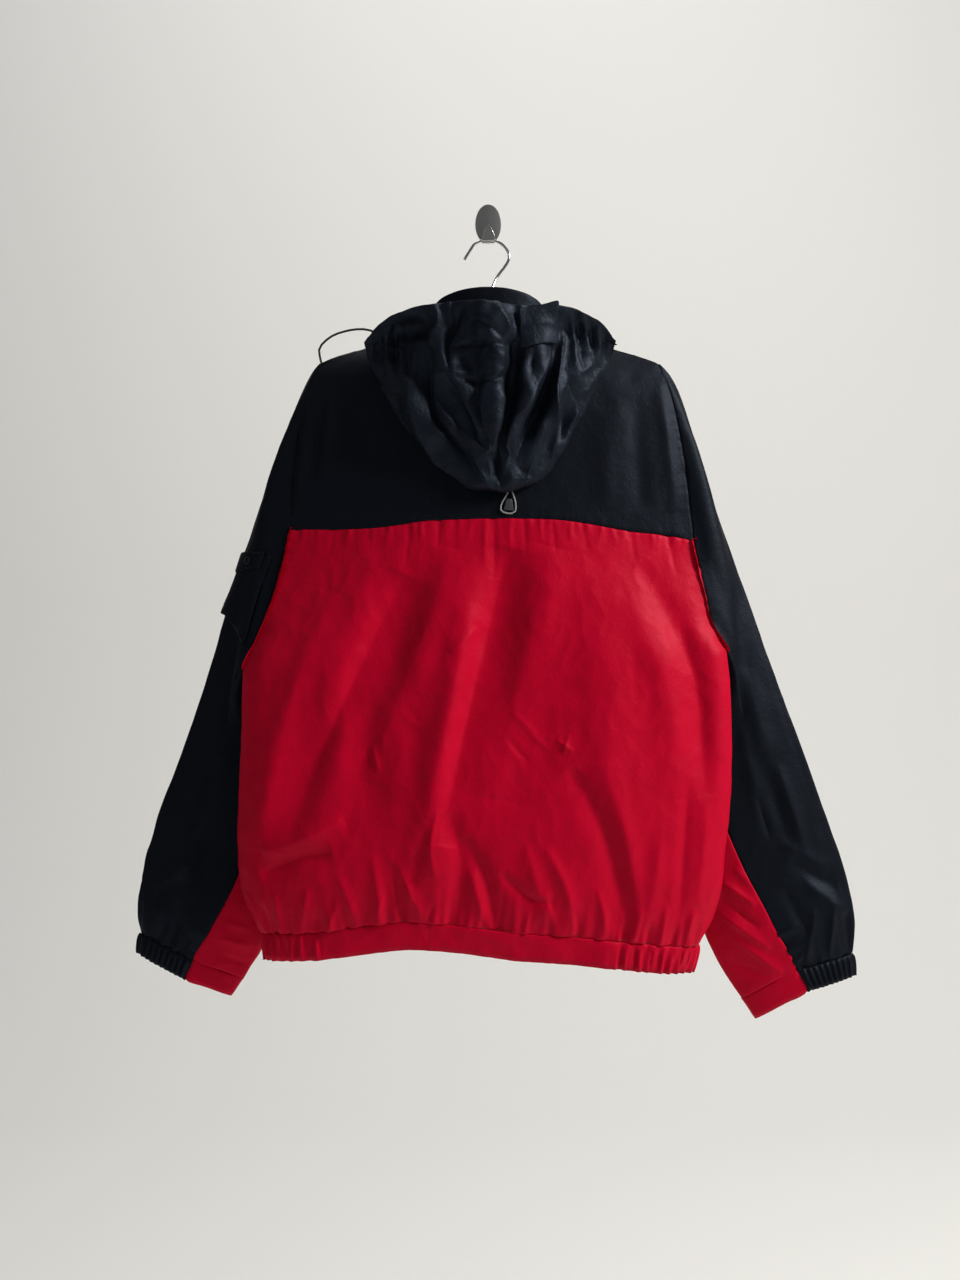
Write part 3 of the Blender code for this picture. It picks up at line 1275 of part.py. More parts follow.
def make_pull_tab():
    """The pull tab, hanging straight down."""
    bar, half, wide = TAB_HALF_THICKNESS, TAB_HALF_WIDTH, WINDOW_HALF_WIDTH
    outer = [(-half, bar), (half, bar), (half, -WINDOW_END), (half, -TAB_LENGTH + 1.6 * MM),
             (0.6 * half, -TAB_LENGTH), (-0.6 * half, -TAB_LENGTH), (-half, -TAB_LENGTH + 1.6 * MM),
             (-half, -WINDOW_END)]
    window = [(-wide, -bar), (wide, -bar), (wide, -WINDOW_END), (-wide, -WINDOW_END)]
    mesh = bmesh.new()
    layers = []
    for depth in (TAB_AXIS_DEPTH - bar, TAB_AXIS_DEPTH + bar):
        layers.append([[mesh.verts.new((x, depth, z + TAB_AXIS_HEIGHT)) for x, z in line]
                       for line in (outer, window)])
    for line in (0, 1):
        count = len(layers[0][line])
        for k in range(count):
            j = (k + 1) % count
            a, b = layers[0][line], layers[1][line]
            mesh.faces.new((a[k], a[j], b[j], b[k]))
    for rim, hole in layers:
        mesh.faces.new((rim[0], rim[1], hole[1], hole[0]))
        mesh.faces.new((rim[1], rim[2], hole[2], hole[1]))
        mesh.faces.new((rim[0], hole[0], hole[3], rim[7]))
        mesh.faces.new((rim[2], rim[3], rim[4], rim[5], rim[6], rim[7], hole[3], hole[2]))
    bmesh.ops.recalc_face_normals(mesh, faces=mesh.faces)
    add_object("zip_pull", mesh, "chrome")


def clear_scene():
    """Removes whatever the scene holds."""
    for old in list(bpy.data.objects):
        bpy.data.objects.remove(old, do_unlink=True)


def main():
    """Builds the jacket, its hanger and the wall hook."""
    clear_scene()
    shell = make_shell_pieces()
    make_hood(shell)
    make_pocket(shell)
    make_cords(shell)
    make_zip()
    make_hanger()
    make_wall_hook()


main()
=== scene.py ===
"""Looks of a hooded nylon shell jacket that hangs on a wire-hook hanger and a stick-on wall hook.

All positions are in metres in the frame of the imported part: the wall is Y = 0, the jacket's back faces
-Y and +Z is up. Tables of folds and lines are in millimetres, as x and z unless they say otherwise.
"""
import logging
import math
from dataclasses import dataclass, field
from enum import Enum
from functools import lru_cache
from typing import Optional, Sequence

import bmesh
import bpy
import numpy as np
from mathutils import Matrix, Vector, noise
from mathutils.bvhtree import BVHTree
from mathutils.kdtree import KDTree


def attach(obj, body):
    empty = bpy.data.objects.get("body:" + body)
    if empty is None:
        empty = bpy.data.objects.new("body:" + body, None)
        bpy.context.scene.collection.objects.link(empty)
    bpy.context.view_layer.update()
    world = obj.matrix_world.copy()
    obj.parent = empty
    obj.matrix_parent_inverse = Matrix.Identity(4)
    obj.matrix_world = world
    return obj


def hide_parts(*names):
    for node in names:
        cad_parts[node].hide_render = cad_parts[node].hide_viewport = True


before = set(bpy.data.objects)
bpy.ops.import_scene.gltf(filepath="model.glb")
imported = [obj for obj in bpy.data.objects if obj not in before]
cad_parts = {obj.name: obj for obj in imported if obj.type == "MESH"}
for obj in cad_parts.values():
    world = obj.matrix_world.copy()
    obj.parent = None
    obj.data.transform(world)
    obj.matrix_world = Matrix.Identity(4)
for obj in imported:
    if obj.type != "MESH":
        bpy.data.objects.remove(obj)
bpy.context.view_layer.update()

MM = 0.001
# Points of a node closer than this are one point
WELD = 0.002 * MM
# How the names of the cloth nodes begin that meet at seams
CLOTH_NODES = ("back_", "front_", "collar", "sleeve_outer", "sleeve_under", "cuff_", "hem_")
log = logging.getLogger("jacket")

# Places as x and z
Line = Sequence[tuple[float, float]]
# A table of numbers, whose columns a comment names
Rows = Sequence[tuple[float, ...]]
# A table of folds: places, half width, height, crest
CurvedRows = Sequence[tuple[Line, float, float, float]]


class Body(Enum):
    """The bodies of the part that pieces ride on."""

    JACKET = "jacket"
    ZIP_PULL = "zip_pull_tab"


class Side(Enum):
    """The side of the jacket that a fold shows on, as the sign of its way along Y."""

    BACK = -1
    FRONT = 1


class Slot(Enum):
    """The record's material slots."""

    BLACK_NYLON = "black_nylon"
    HOOD_NYLON = "black_hood_nylon"
    RED_NYLON = "red_nylon"
    BLACK_CORD = "black_cord"
    PALE_CORD = "pale_cord"
    RUBBER = "rubber"
    CHROME = "chrome"
    STEEL = "steel"
    HANGER = "hanger_plastic"


# finishes


def linear(colour: str) -> tuple[float, float, float, float]:
    """The linear colour of an sRGB hex value.

    Args:
        colour: six hex digits after a hash sign.

    Returns:
        Red, green, blue and an alpha of 1.
    """
    parts = [int(colour[i:i + 2], 16) / 255 for i in (1, 3, 5)]
    return (*[p / 12.92 if p <= 0.04045 else ((p + 0.055) / 1.055) ** 2.4 for p in parts], 1.0)


def feed(tree: bpy.types.NodeTree, node: bpy.types.Node, inputs: dict) -> None:
    """Sets or links inputs of a shader node.

    Args:
        tree: the nodes that it is one of.
        node: the node.
        inputs: for each input, by name or number, a value or the output that feeds it.
    """
    for name, value in inputs.items():
        if isinstance(value, bpy.types.NodeSocket):
            tree.links.new(value, node.inputs[name])
        else:
            node.inputs[name].default_value = value


def add_node(tree: bpy.types.NodeTree, kind: str, settings: Optional[dict] = None,
             links: Optional[dict] = None) -> bpy.types.Node:
    """Adds a shader node with its settings and links.

    Args:
        tree: the material's nodes.
        kind: the node's type.
        settings: attributes of the node by name.
        links: for each input, by name or number, a value or the output that feeds it.

    Returns:
        The new node.
    """
    node = tree.nodes.new(kind)
    for name, value in (settings or {}).items():
        setattr(node, name, value)
    feed(tree, node, links or {})
    return node


# Scale of a wave texture whose bands lie one unit apart
ONE_WAVE = 0.314


def new_material(name: str) -> tuple[bpy.types.Material, bpy.types.NodeTree, bpy.types.Node]:
    """An empty material with its shader.

    Args:
        name: the finish it shows.

    Returns:
        The material, its node tree and its Principled shader.
    """
    made = bpy.data.materials.new(name)
    made.use_nodes = True
    tree = made.node_tree
    return made, tree, tree.nodes["Principled BSDF"]


@dataclass(frozen=True)
class WovenNylon:
    """Plain-woven nylon with a dull calendered face, which gives the eye a soft even sheen on folds."""

    name: str
    slot: Slot
    colour: str
    shade: str
    roughness: float = 0.5
    sheen: float = 0.25
    sheen_colour: str = "#FFFFFF"
    specular: float = 0.35
    gloss_tint: str = "#FFFFFF"
    refraction: float = 1.53
    sheen_roughness: float = 0.45
    # Threads lie 0.25 mm apart, too fine to show, so they are drawn this coarse
    thread: float = 1.0 * MM
    thread_depth: float = 0.1 * MM
    thread_blend: float = 0.12
    mottle: float = 34 * MM
    crumple: float = 9 * MM
    crumple_depth: float = 1.4 * MM
    crumple_blend: float = 0.35

    def material(self) -> bpy.types.Material:
        """The cloth's material: thread bump, fine crumpling and a slight unevenness of the dye.

        Returns:
            The new material.
        """
        made, tree, shader = new_material(self.name)
        place = add_node(tree, "ShaderNodeTexCoord").outputs["Object"]
        patches = add_node(tree, "ShaderNodeTexNoise", {},
                           {"Vector": place, "Scale": 1 / self.mottle, "Detail": 4.0, "Roughness": 0.55})
        tint = add_node(tree, "ShaderNodeMix", {"data_type": "RGBA"},
                        {0: patches.outputs["Fac"], 6: linear(self.colour), 7: linear(self.shade)})
        threads = []
        for axis in ("X", "Z"):
            wave = add_node(tree, "ShaderNodeTexWave", {"bands_direction": axis},
                            {"Vector": place, "Scale": ONE_WAVE / self.thread, "Distortion": 0.6,
                             "Detail": 1.0})
            threads.append(wave.outputs["Fac"])
        weave = add_node(tree, "ShaderNodeMath", {"operation": "MULTIPLY"},
                         {0: threads[0], 1: threads[1]})
        creases = add_node(tree, "ShaderNodeTexNoise", {},
                           {"Vector": place, "Scale": 1 / self.crumple, "Detail": 5.0,
                            "Roughness": 0.6, "Distortion": 0.8})
        fine = add_node(tree, "ShaderNodeBump", {},
                        {"Height": weave.outputs[0], "Strength": self.thread_blend,
                         "Distance": self.thread_depth})
        bump = add_node(tree, "ShaderNodeBump", {},
                        {"Height": creases.outputs["Fac"], "Strength": self.crumple_blend,
                         "Distance": self.crumple_depth, "Normal": fine.outputs["Normal"]})
        feed(tree, shader, {
            "Base Color": tint.outputs[2], "Normal": bump.outputs["Normal"], "Roughness": self.roughness,
            "Specular IOR Level": self.specular, "Specular Tint": linear(self.gloss_tint),
            "IOR": self.refraction, "Sheen Weight": self.sheen, "Sheen Roughness": self.sheen_roughness,
            "Sheen Tint": linear(self.sheen_colour)})
        return made


@dataclass(frozen=True)
class BraidedCord:
    """Round cord braided from fine yarns, which gives the eye small slanting lights along it."""

    name: str
    slot: Slot
    colour: str
    roughness: float = 0.65
    sheen: float = 0.2
    yarn: float = 1.0 * MM
    yarn_depth: float = 0.25 * MM
    yarn_slant: float = 0.6

    def material(self) -> bpy.types.Material:
        """The cord's material, with its yarns crossing both ways.

        Returns:
            The new material.
        """
        made, tree, shader = new_material(self.name)
        place = add_node(tree, "ShaderNodeTexCoord").outputs["Object"]
        slants = []
        for turn in (self.yarn_slant, -self.yarn_slant):
            turned = add_node(tree, "ShaderNodeMapping", {}, {"Vector": place, "Rotation": (0, turn, turn)})
            wave = add_node(tree, "ShaderNodeTexWave", {},
                            {"Vector": turned.outputs[0], "Scale": ONE_WAVE / self.yarn})
            slants.append(wave.outputs["Fac"])
        braid = add_node(tree, "ShaderNodeMath", {"operation": "MAXIMUM"}, {0: slants[0], 1: slants[1]})
        bump = add_node(tree, "ShaderNodeBump", {},
                        {"Height": braid.outputs[0], "Strength": 0.6, "Distance": self.yarn_depth})
        feed(tree, shader, {"Base Color": linear(self.colour), "Normal": bump.outputs["Normal"],
                            "Roughness": self.roughness, "Sheen Weight": self.sheen})
        return made


@dataclass(frozen=True)
class PlatedMetal:
    """Steel plated or brushed, which gives the eye mirror lights or a satin grain along one way."""

    name: str
    slot: Slot
    colour: str
    roughness: float
    # Grain of the brushing is 0.05 mm wide, too fine to show, so it is drawn this coarse
    grain: float = 0.8 * MM
    grain_depth: float = 0.02 * MM
    stretch: float = 14.0

    def material(self) -> bpy.types.Material:
        """The metal's material, with a fine grain and a little unevenness in its gloss.

        Returns:
            The new material.
        """
        made, tree, shader = new_material(self.name)
        place = add_node(tree, "ShaderNodeTexCoord").outputs["Object"]
        drawn = add_node(tree, "ShaderNodeMapping", {},
                         {"Vector": place, "Scale": (1.0, 1.0, 1.0 / self.stretch)})
        grain = add_node(tree, "ShaderNodeTexNoise", {},
                         {"Vector": drawn.outputs[0], "Scale": 1 / self.grain, "Detail": 3.0})
        gloss = add_node(tree, "ShaderNodeMapRange", {},
                         {"Value": grain.outputs["Fac"], "To Min": self.roughness * 0.8,
                          "To Max": self.roughness * 1.25})
        bump = add_node(tree, "ShaderNodeBump", {},
                        {"Height": grain.outputs["Fac"], "Strength": 0.3, "Distance": self.grain_depth})
        feed(tree, shader, {"Base Color": linear(self.colour), "Normal": bump.outputs["Normal"],
                            "Roughness": gloss.outputs[0], "Metallic": 1.0})
        return made


@dataclass(frozen=True)
class MouldedPlastic:
    """Moulded rubber or plastic, which gives the eye a faint pebbled skin with broad dull lights."""

    name: str
    slot: Slot
    colour: str
    roughness: float
    pebble: float = 0.9 * MM
    depth: float = 0.04 * MM
    refraction: float = 1.5

    def material(self) -> bpy.types.Material:
        """The moulding's material.

        Returns:
            The new material.
        """
        made, tree, shader = new_material(self.name)
        place = add_node(tree, "ShaderNodeTexCoord").outputs["Object"]
        skin = add_node(tree, "ShaderNodeTexNoise", {},
                        {"Vector": place, "Scale": 1 / self.pebble, "Detail": 2.0})
        bump = add_node(tree, "ShaderNodeBump", {},
                        {"Height": skin.outputs["Fac"], "Strength": 0.5, "Distance": self.depth})
        feed(tree, shader, {"Base Color": linear(self.colour), "Normal": bump.outputs["Normal"],
                            "Roughness": self.roughness, "IOR": self.refraction})
        return made


Finish = WovenNylon | BraidedCord | PlatedMetal | MouldedPlastic

# Near black and dull, with a faint cool gloss where folds face the window
BLACK_NYLON = WovenNylon("woven_black_nylon", Slot.BLACK_NYLON, "#0B0E14", "#080A0F", roughness=0.52,
                         sheen=0.02, sheen_colour="#B8C4DA", specular=0.16, gloss_tint="#B4C6E6")
# Thinner and glossier than the yoke, with sharp little creases in which puffs break the light
HOOD_NYLON = WovenNylon("light_black_hood_nylon", Slot.HOOD_NYLON, "#10141C", "#0B0F16", roughness=0.51,
                        sheen=0.02, sheen_colour="#B8C4DA", specular=0.3, gloss_tint="#B4C6E6",
                        crumple=7 * MM, crumple_depth=1.8 * MM, crumple_blend=0.6)
# Full crimson that stays red in its shade, with a pink gloss on crests
RED_NYLON = WovenNylon("woven_red_nylon", Slot.RED_NYLON, "#C4002B", "#B00021", roughness=0.5,
                       sheen=0.03, sheen_colour="#FF6070", specular=0.22, gloss_tint="#FF8098")
# Twisted thread a little lighter than the cloth, so that rows of stitches can be told
BLACK_THREAD = WovenNylon("black_sewing_thread", Slot.BLACK_NYLON, "#0D1015", "#0A0C10", roughness=0.55,
                          specular=0.2, sheen=0.0)
# Thread darker than the red cloth, which draws its seams
RED_THREAD = WovenNylon("red_sewing_thread", Slot.RED_NYLON, "#8E0A1E", "#7E081A", specular=0.2, sheen=0.0)
# Dense dull braid, a plain dark line over the shoulder and against the pale wall
BLACK_CORD = BraidedCord("braided_black_cord", Slot.BLACK_CORD, "#0E0F11")
# Pale grey braid, the lightest spot below the hood
PALE_CORD = BraidedCord("braided_pale_cord", Slot.PALE_CORD, "#8F9291", yarn=0.8 * MM)
# Dark grey rubber with one broad dull light
GRIP_RUBBER = MouldedPlastic("moulded_grey_rubber", Slot.RUBBER, "#34383A", 0.55)
# Smooth black plastic with a soft light along the arms
HANGER_PLASTIC = MouldedPlastic("moulded_black_plastic", Slot.HANGER, "#121315", 0.35)
# Teeth glossier than their tape, so that each has its own small light
ZIP_PLASTIC = MouldedPlastic("moulded_zip_plastic", Slot.BLACK_NYLON, "#15171A", 0.32)
# Mirror-bright plating that shows the room as thin lines along the wire
BRIGHT_WIRE = PlatedMetal("chromed_wire", Slot.CHROME, "#D9DADC", 0.12)
# Polished steel, a little warmer and softer than the wire
BRIGHT_LIP = PlatedMetal("polished_steel_lip", Slot.CHROME, "#E6E4DE", 0.18)
# Satin grey with a grain that runs up and down the plate
SATIN_STEEL = PlatedMetal("brushed_steel_plate", Slot.STEEL, "#9A9B9A", 0.42)
# Dark metal that only its rim's light sets off from the black flap
SNAP_METAL = PlatedMetal("blackened_snap_metal", Slot.STEEL, "#2A2C30", 0.3)


@lru_cache(maxsize=None)
def material_of(finish: Finish) -> bpy.types.Material:
    """The material of a finish, made the first time it is asked for."""
    return finish.material()


# placing pieces


def place_piece(name: str, data: bpy.types.ID, finish: Finish, nodes: Sequence[str] = (),
                body: Body = Body.JACKET) -> bpy.types.Object:
    """Puts a piece in the scene, dressed and riding on its body.

    Args:
        name: the piece's name.
        data: its mesh or curve.
        finish: its finish.
        nodes: the part's nodes that it stands for.
        body: the body that it moves with.

    Returns:
        The new object.
    """
    data.materials.clear()
    data.materials.append(material_of(finish))
    piece = bpy.data.objects.new(name, data)
    bpy.context.scene.collection.objects.link(piece)
    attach(piece, body.value)
    if nodes:
        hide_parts(*nodes)
    log.info("%s: %s", name, finish.name)
    return piece


def evaluated_mesh(mesh: bpy.types.Mesh, modifiers: Sequence[tuple[str, dict]]) -> bpy.types.Mesh:
    """A mesh after some modifiers.

    Args:
        mesh: the mesh before them, which is used up.
        modifiers: each one's type and settings.

    Returns:
        The mesh after them.
    """
    holder = bpy.data.objects.new("holder", mesh)
    bpy.context.scene.collection.objects.link(holder)
    for kind, settings in modifiers:
        modifier = holder.modifiers.new(kind, kind)
        for name, value in settings.items():
            setattr(modifier, name, value)
    graph = bpy.context.evaluated_depsgraph_get()
    result = bpy.data.meshes.new_from_object(holder.evaluated_get(graph))
    bpy.data.objects.remove(holder)
    bpy.data.meshes.remove(mesh)
    return result


def smooth_faces(mesh: bpy.types.Mesh) -> None:
    """Shades every face of a mesh smooth."""
    for polygon in mesh.polygons:
        polygon.use_smooth = True


def coordinates(mesh: bpy.types.Mesh) -> np.ndarray:
    """A mesh's points, one row each.

    Args:
        mesh: the mesh.

    Returns:
        An array of places.
    """
    points = np.empty(len(mesh.vertices) * 3)
    mesh.vertices.foreach_get("co", points)
    return points.reshape(-1, 3)


def others_of(node: str) -> BVHTree:
    """The surfaces of every other cloth node.

    Args:
        node: the node that is left out.

    Returns:
        Their triangles, in which the nearest place can be looked up.
    """
    points, polygons = [], []
    for name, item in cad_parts.items():
        if name != node and name.startswith(CLOTH_NODES):
            base = len(points)
            points += [v.co.copy() for v in item.data.vertices]
            polygons += [tuple(base + i for i in p.vertices) for p in item.data.polygons]
    return BVHTree.FromPolygons(points, polygons)


def node_mesh(node: str) -> bmesh.types.BMesh:
    """The welded mesh of one of the part's nodes.

    Args:
        node: the node's name.

    Returns:
        The mesh.
    """
    mesh = bmesh.new()
    mesh.from_mesh(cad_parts[node].data)
    bmesh.ops.remove_doubles(mesh, verts=mesh.verts, dist=WELD)
    return mesh


def join_rings(mesh: bmesh.types.BMesh, rings: Sequence[Sequence[bmesh.types.BMVert]]) -> None:
    """Adds the faces between rings of as many points each.

    Args:
        mesh: the mesh they are in.
        rings: the rings in their order.
    """
    for a, b in zip(rings, rings[1:]):
        for k in range(len(a)):
            mesh.faces.new((a[k], a[(k + 1) % len(a)], b[(k + 1) % len(a)], b[k]))


def as_mesh(source: bmesh.types.BMesh, name: str) -> bpy.types.Mesh:
    """A mesh datablock from a bmesh, which is freed.

    Args:
        source: the bmesh.
        name: the datablock's name.

    Returns:
        The datablock.
    """
    data = bpy.data.meshes.new(name)
    source.to_mesh(data)
    source.free()
    return data


# cloth


def open_edges(mesh: bpy.types.Mesh) -> list[tuple[int, int]]:
    """The edges of a mesh that only one face has.

    Args:
        mesh: the mesh.

    Returns:
        Each edge as its two points' numbers.
    """
    counts: dict[tuple[int, int], int] = {}
    for polygon in mesh.polygons:
        for key in polygon.edge_keys:
            counts[key] = counts.get(key, 0) + 1
    return [key for key, count in counts.items() if count == 1]


def smooth_line(line: Line, parts: int = 6) -> np.ndarray:
    """Points on a smooth curve through a short line.

    Args:
        line: the places it runs through.
        parts: steps between two places.

    Returns:
        An array of places, one row each.
    """
    marks = np.array(line, float)
    if len(marks) < 3:
        return marks
    padded = np.vstack((2 * marks[0] - marks[1], marks, 2 * marks[-1] - marks[-2]))
    result = []
    for a, b, c, d in zip(padded, padded[1:], padded[2:], padded[3:]):
        for t in np.arange(parts) / parts:
            result.append(0.5 * (2 * b + (c - a) * t + (2 * a - 5 * b + 4 * c - d) * t ** 2
                                 + (3 * b - a - 3 * c + d) * t ** 3))
    return np.vstack((result, marks[-1:]))


# How bluntly a fold runs out at both ends
END_TAPER = 0.6


@dataclass(frozen=True)
class Fold:
    """A fold of the cloth along a line.

    Attributes:
        line: places along its crest, in millimetres.
        width: its half width, in millimetres.
        height: how far its crest stands out, negative for a valley, in millimetres.
        crest: 2 for a rounded crest, towards 1 for a crisp one.
        side: which way it shows.
    """

    line: Line
    width: float
    height: float
    crest: float = 2.0
    side: Side = Side.BACK

    def lift(self, x: np.ndarray, z: np.ndarray) -> np.ndarray:
        """How far the fold lifts each place.

        Args:
            x: places across, in millimetres.
            z: places up, in millimetres.

        Returns:
            Heights in millimetres.
        """
        points = smooth_line(self.line)
        steps = np.diff(points, axis=0)
        lengths = np.hypot(steps[:, 0], steps[:, 1])
        reach = np.concatenate(([0.0], np.cumsum(lengths)))
        nearest = np.full(x.shape, 1e6)
        along = np.zeros(x.shape)
        for start, step, length, before in zip(points, steps, lengths, reach):
            share = ((x - start[0]) * step[0] + (z - start[1]) * step[1]) / length ** 2
            share = np.clip(share, 0, 1)
            off = np.hypot(x - start[0] - share * step[0], z - start[1] - share * step[1])
            closer = off < nearest
            nearest = np.where(closer, off, nearest)
            along = np.where(closer, before + share * length, along)
        taper = np.sin(np.pi * np.clip(along / reach[-1], 0, 1)) ** END_TAPER
        return self.height * taper * np.exp(-(nearest / self.width) ** self.crest)


@dataclass(frozen=True)
class Dimple:
    """A rounded swelling or hollow of the cloth, in millimetres.

    Attributes:
        x: its middle across.
        z: its middle up.
        wide: its half width.
        tall: its half height.
        height: how far it stands out, negative for a hollow.
        side: which way it shows.
    """

    x: float
    z: float
    wide: float
    tall: float
    height: float
    side: Side = Side.BACK

    def lift(self, x: np.ndarray, z: np.ndarray) -> np.ndarray:
        """How far it lifts each place, in millimetres."""
        return self.height * np.exp(-((x - self.x) / self.wide) ** 2 - ((z - self.z) / self.tall) ** 2)


@dataclass(frozen=True)
class Pucker:
    """Small gathers that run out from a seam.

    Attributes:
        height: how far they stand out, in millimetres.
        pitch: their spacing along the seam, in millimetres.
        reach: how far they run from it, in millimetres.
        low: the lowest place of the seam that has them, in millimetres.
        high: the highest place of the seam that has them, in millimetres.
    """

    height: float
    pitch: float
    reach: float
    low: float = -2000
    high: float = 2000


def ripple(points: np.ndarray, size: Sequence[float], seed: float) -> np.ndarray:
    """Smooth unevenness at each point, from about -1 to 1.

    Args:
        points: places in millimetres, one row each.
        size: the length of a swelling along x, y and z, in millimetres.
        seed: an offset that sets one ripple apart from another.

    Returns:
        A value for each point.
    """
    scaled = points / np.array(size) + seed
    return np.array([noise.noise(Vector(p)) for p in scaled.tolist()])


# How far and how often the lines of little creases bend, in millimetres, and how narrow they are
CREASE_BEND, CREASE_BEND_SIZE, CREASE_SHARPNESS = 6, (31, 31, 31), 3.2


def crinkle(points: np.ndarray, size: Sequence[float], seed: float) -> np.ndarray:
    """Crisp little creases with flat cloth between them, from about -1 to 1.

    Args:
        points: places in millimetres, one row each.
        size: the spacing of the creases along x, y and z, in millimetres.
        seed: an offset that sets one pattern apart from another.

    Returns:
        A value for each point.
    """
    bends = np.column_stack([ripple(points, CREASE_BEND_SIZE, seed + k) for k in range(3)])
    return 1 - CREASE_SHARPNESS * np.abs(ripple(points + CREASE_BEND * bends, size, seed))


@dataclass
class Tube:
    """A tube of cloth that several pieces make together, such as the body or a sleeve.

    Attributes:
        nodes: the part's nodes that make it.
        slices: how many heights it is measured at.
        fewest: points that a height needs to count.
        rows: height, middle in x and y and half widths in x and y of each slice, in metres.
    """

    nodes: Sequence[str]
    slices: int = 14
    fewest: int = 8
    rows: np.ndarray = field(init=False, repr=False)

    def __post_init__(self) -> None:
        """Measures the tube's middle and half widths at each height."""
        points = np.array([v.co[:] for n in self.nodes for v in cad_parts[n].data.vertices])
        height = points[:, 2]
        marks = np.linspace(height.min(), height.max(), self.slices + 1)
        rows = []
        for low, high in zip(marks, marks[1:]):
            near = points[(height >= low) & (height <= high)]
            if len(near) >= self.fewest:
                least, most = near.min(axis=0), near.max(axis=0)
                rows.append(((low + high) / 2, *(least + most)[:2] / 2, *(most - least)[:2] / 2))
        self.rows = np.array(rows)

    def away(self, point: Vector) -> Vector:
        """The level direction that leads out of the tube at a point.

        Args:
            point: the place, in metres.

        Returns:
            A unit vector.
        """
        height, *columns = self.rows.T
        x, y, wide, deep = (float(np.interp(point.z, height, column)) for column in columns)
        return Vector(((point.x - x) / wide ** 2, (point.y - y) / deep ** 2, 0)).normalized()


# Size along x, y and z in millimetres and seed of the three kinds of unevenness of cloth
SAG_PATTERN = ((70, 70, 130), 3.1)
RUMPLE_PATTERN = ((16, 16, 26), 11.7)
CREASE_PATTERN = ((21, 21, 30), 21.3)
# Seeds of the gathers' waves and of their lengths, and how steeply gathers die away from their seam
GATHER_SEED, GATHER_LENGTH_SEED = 5.3, 8.9
GATHER_FALL = 1.3
# How sharply a fold ends where the cloth turns to the jacket's other side
SIDE_BLEND = 1.6
# Half width of the dip along an edge, in millimetres
GROOVE_WIDTH = 1.6
# Least cosines between normals: of a rib's flank and the way out, of two faces of one side of the cloth,
# and of a side and the narrow faces that border it
RIB_FLANK, SAME_SIDE, SAME_BORDER = 0.4, 0.3, 0.8
# Rounds in which a smoothed mesh is fitted to its node's corners
FIT_ROUNDS = 3
# Faces of the back look at least this much along Y
BACK_FACING = -0.1
# The other side of the cloth lies no further behind a face than this
WALL_REACH = 3.4 * MM
# An edge with another piece this close is a seam
SEAM_REACH = 2.4 * MM


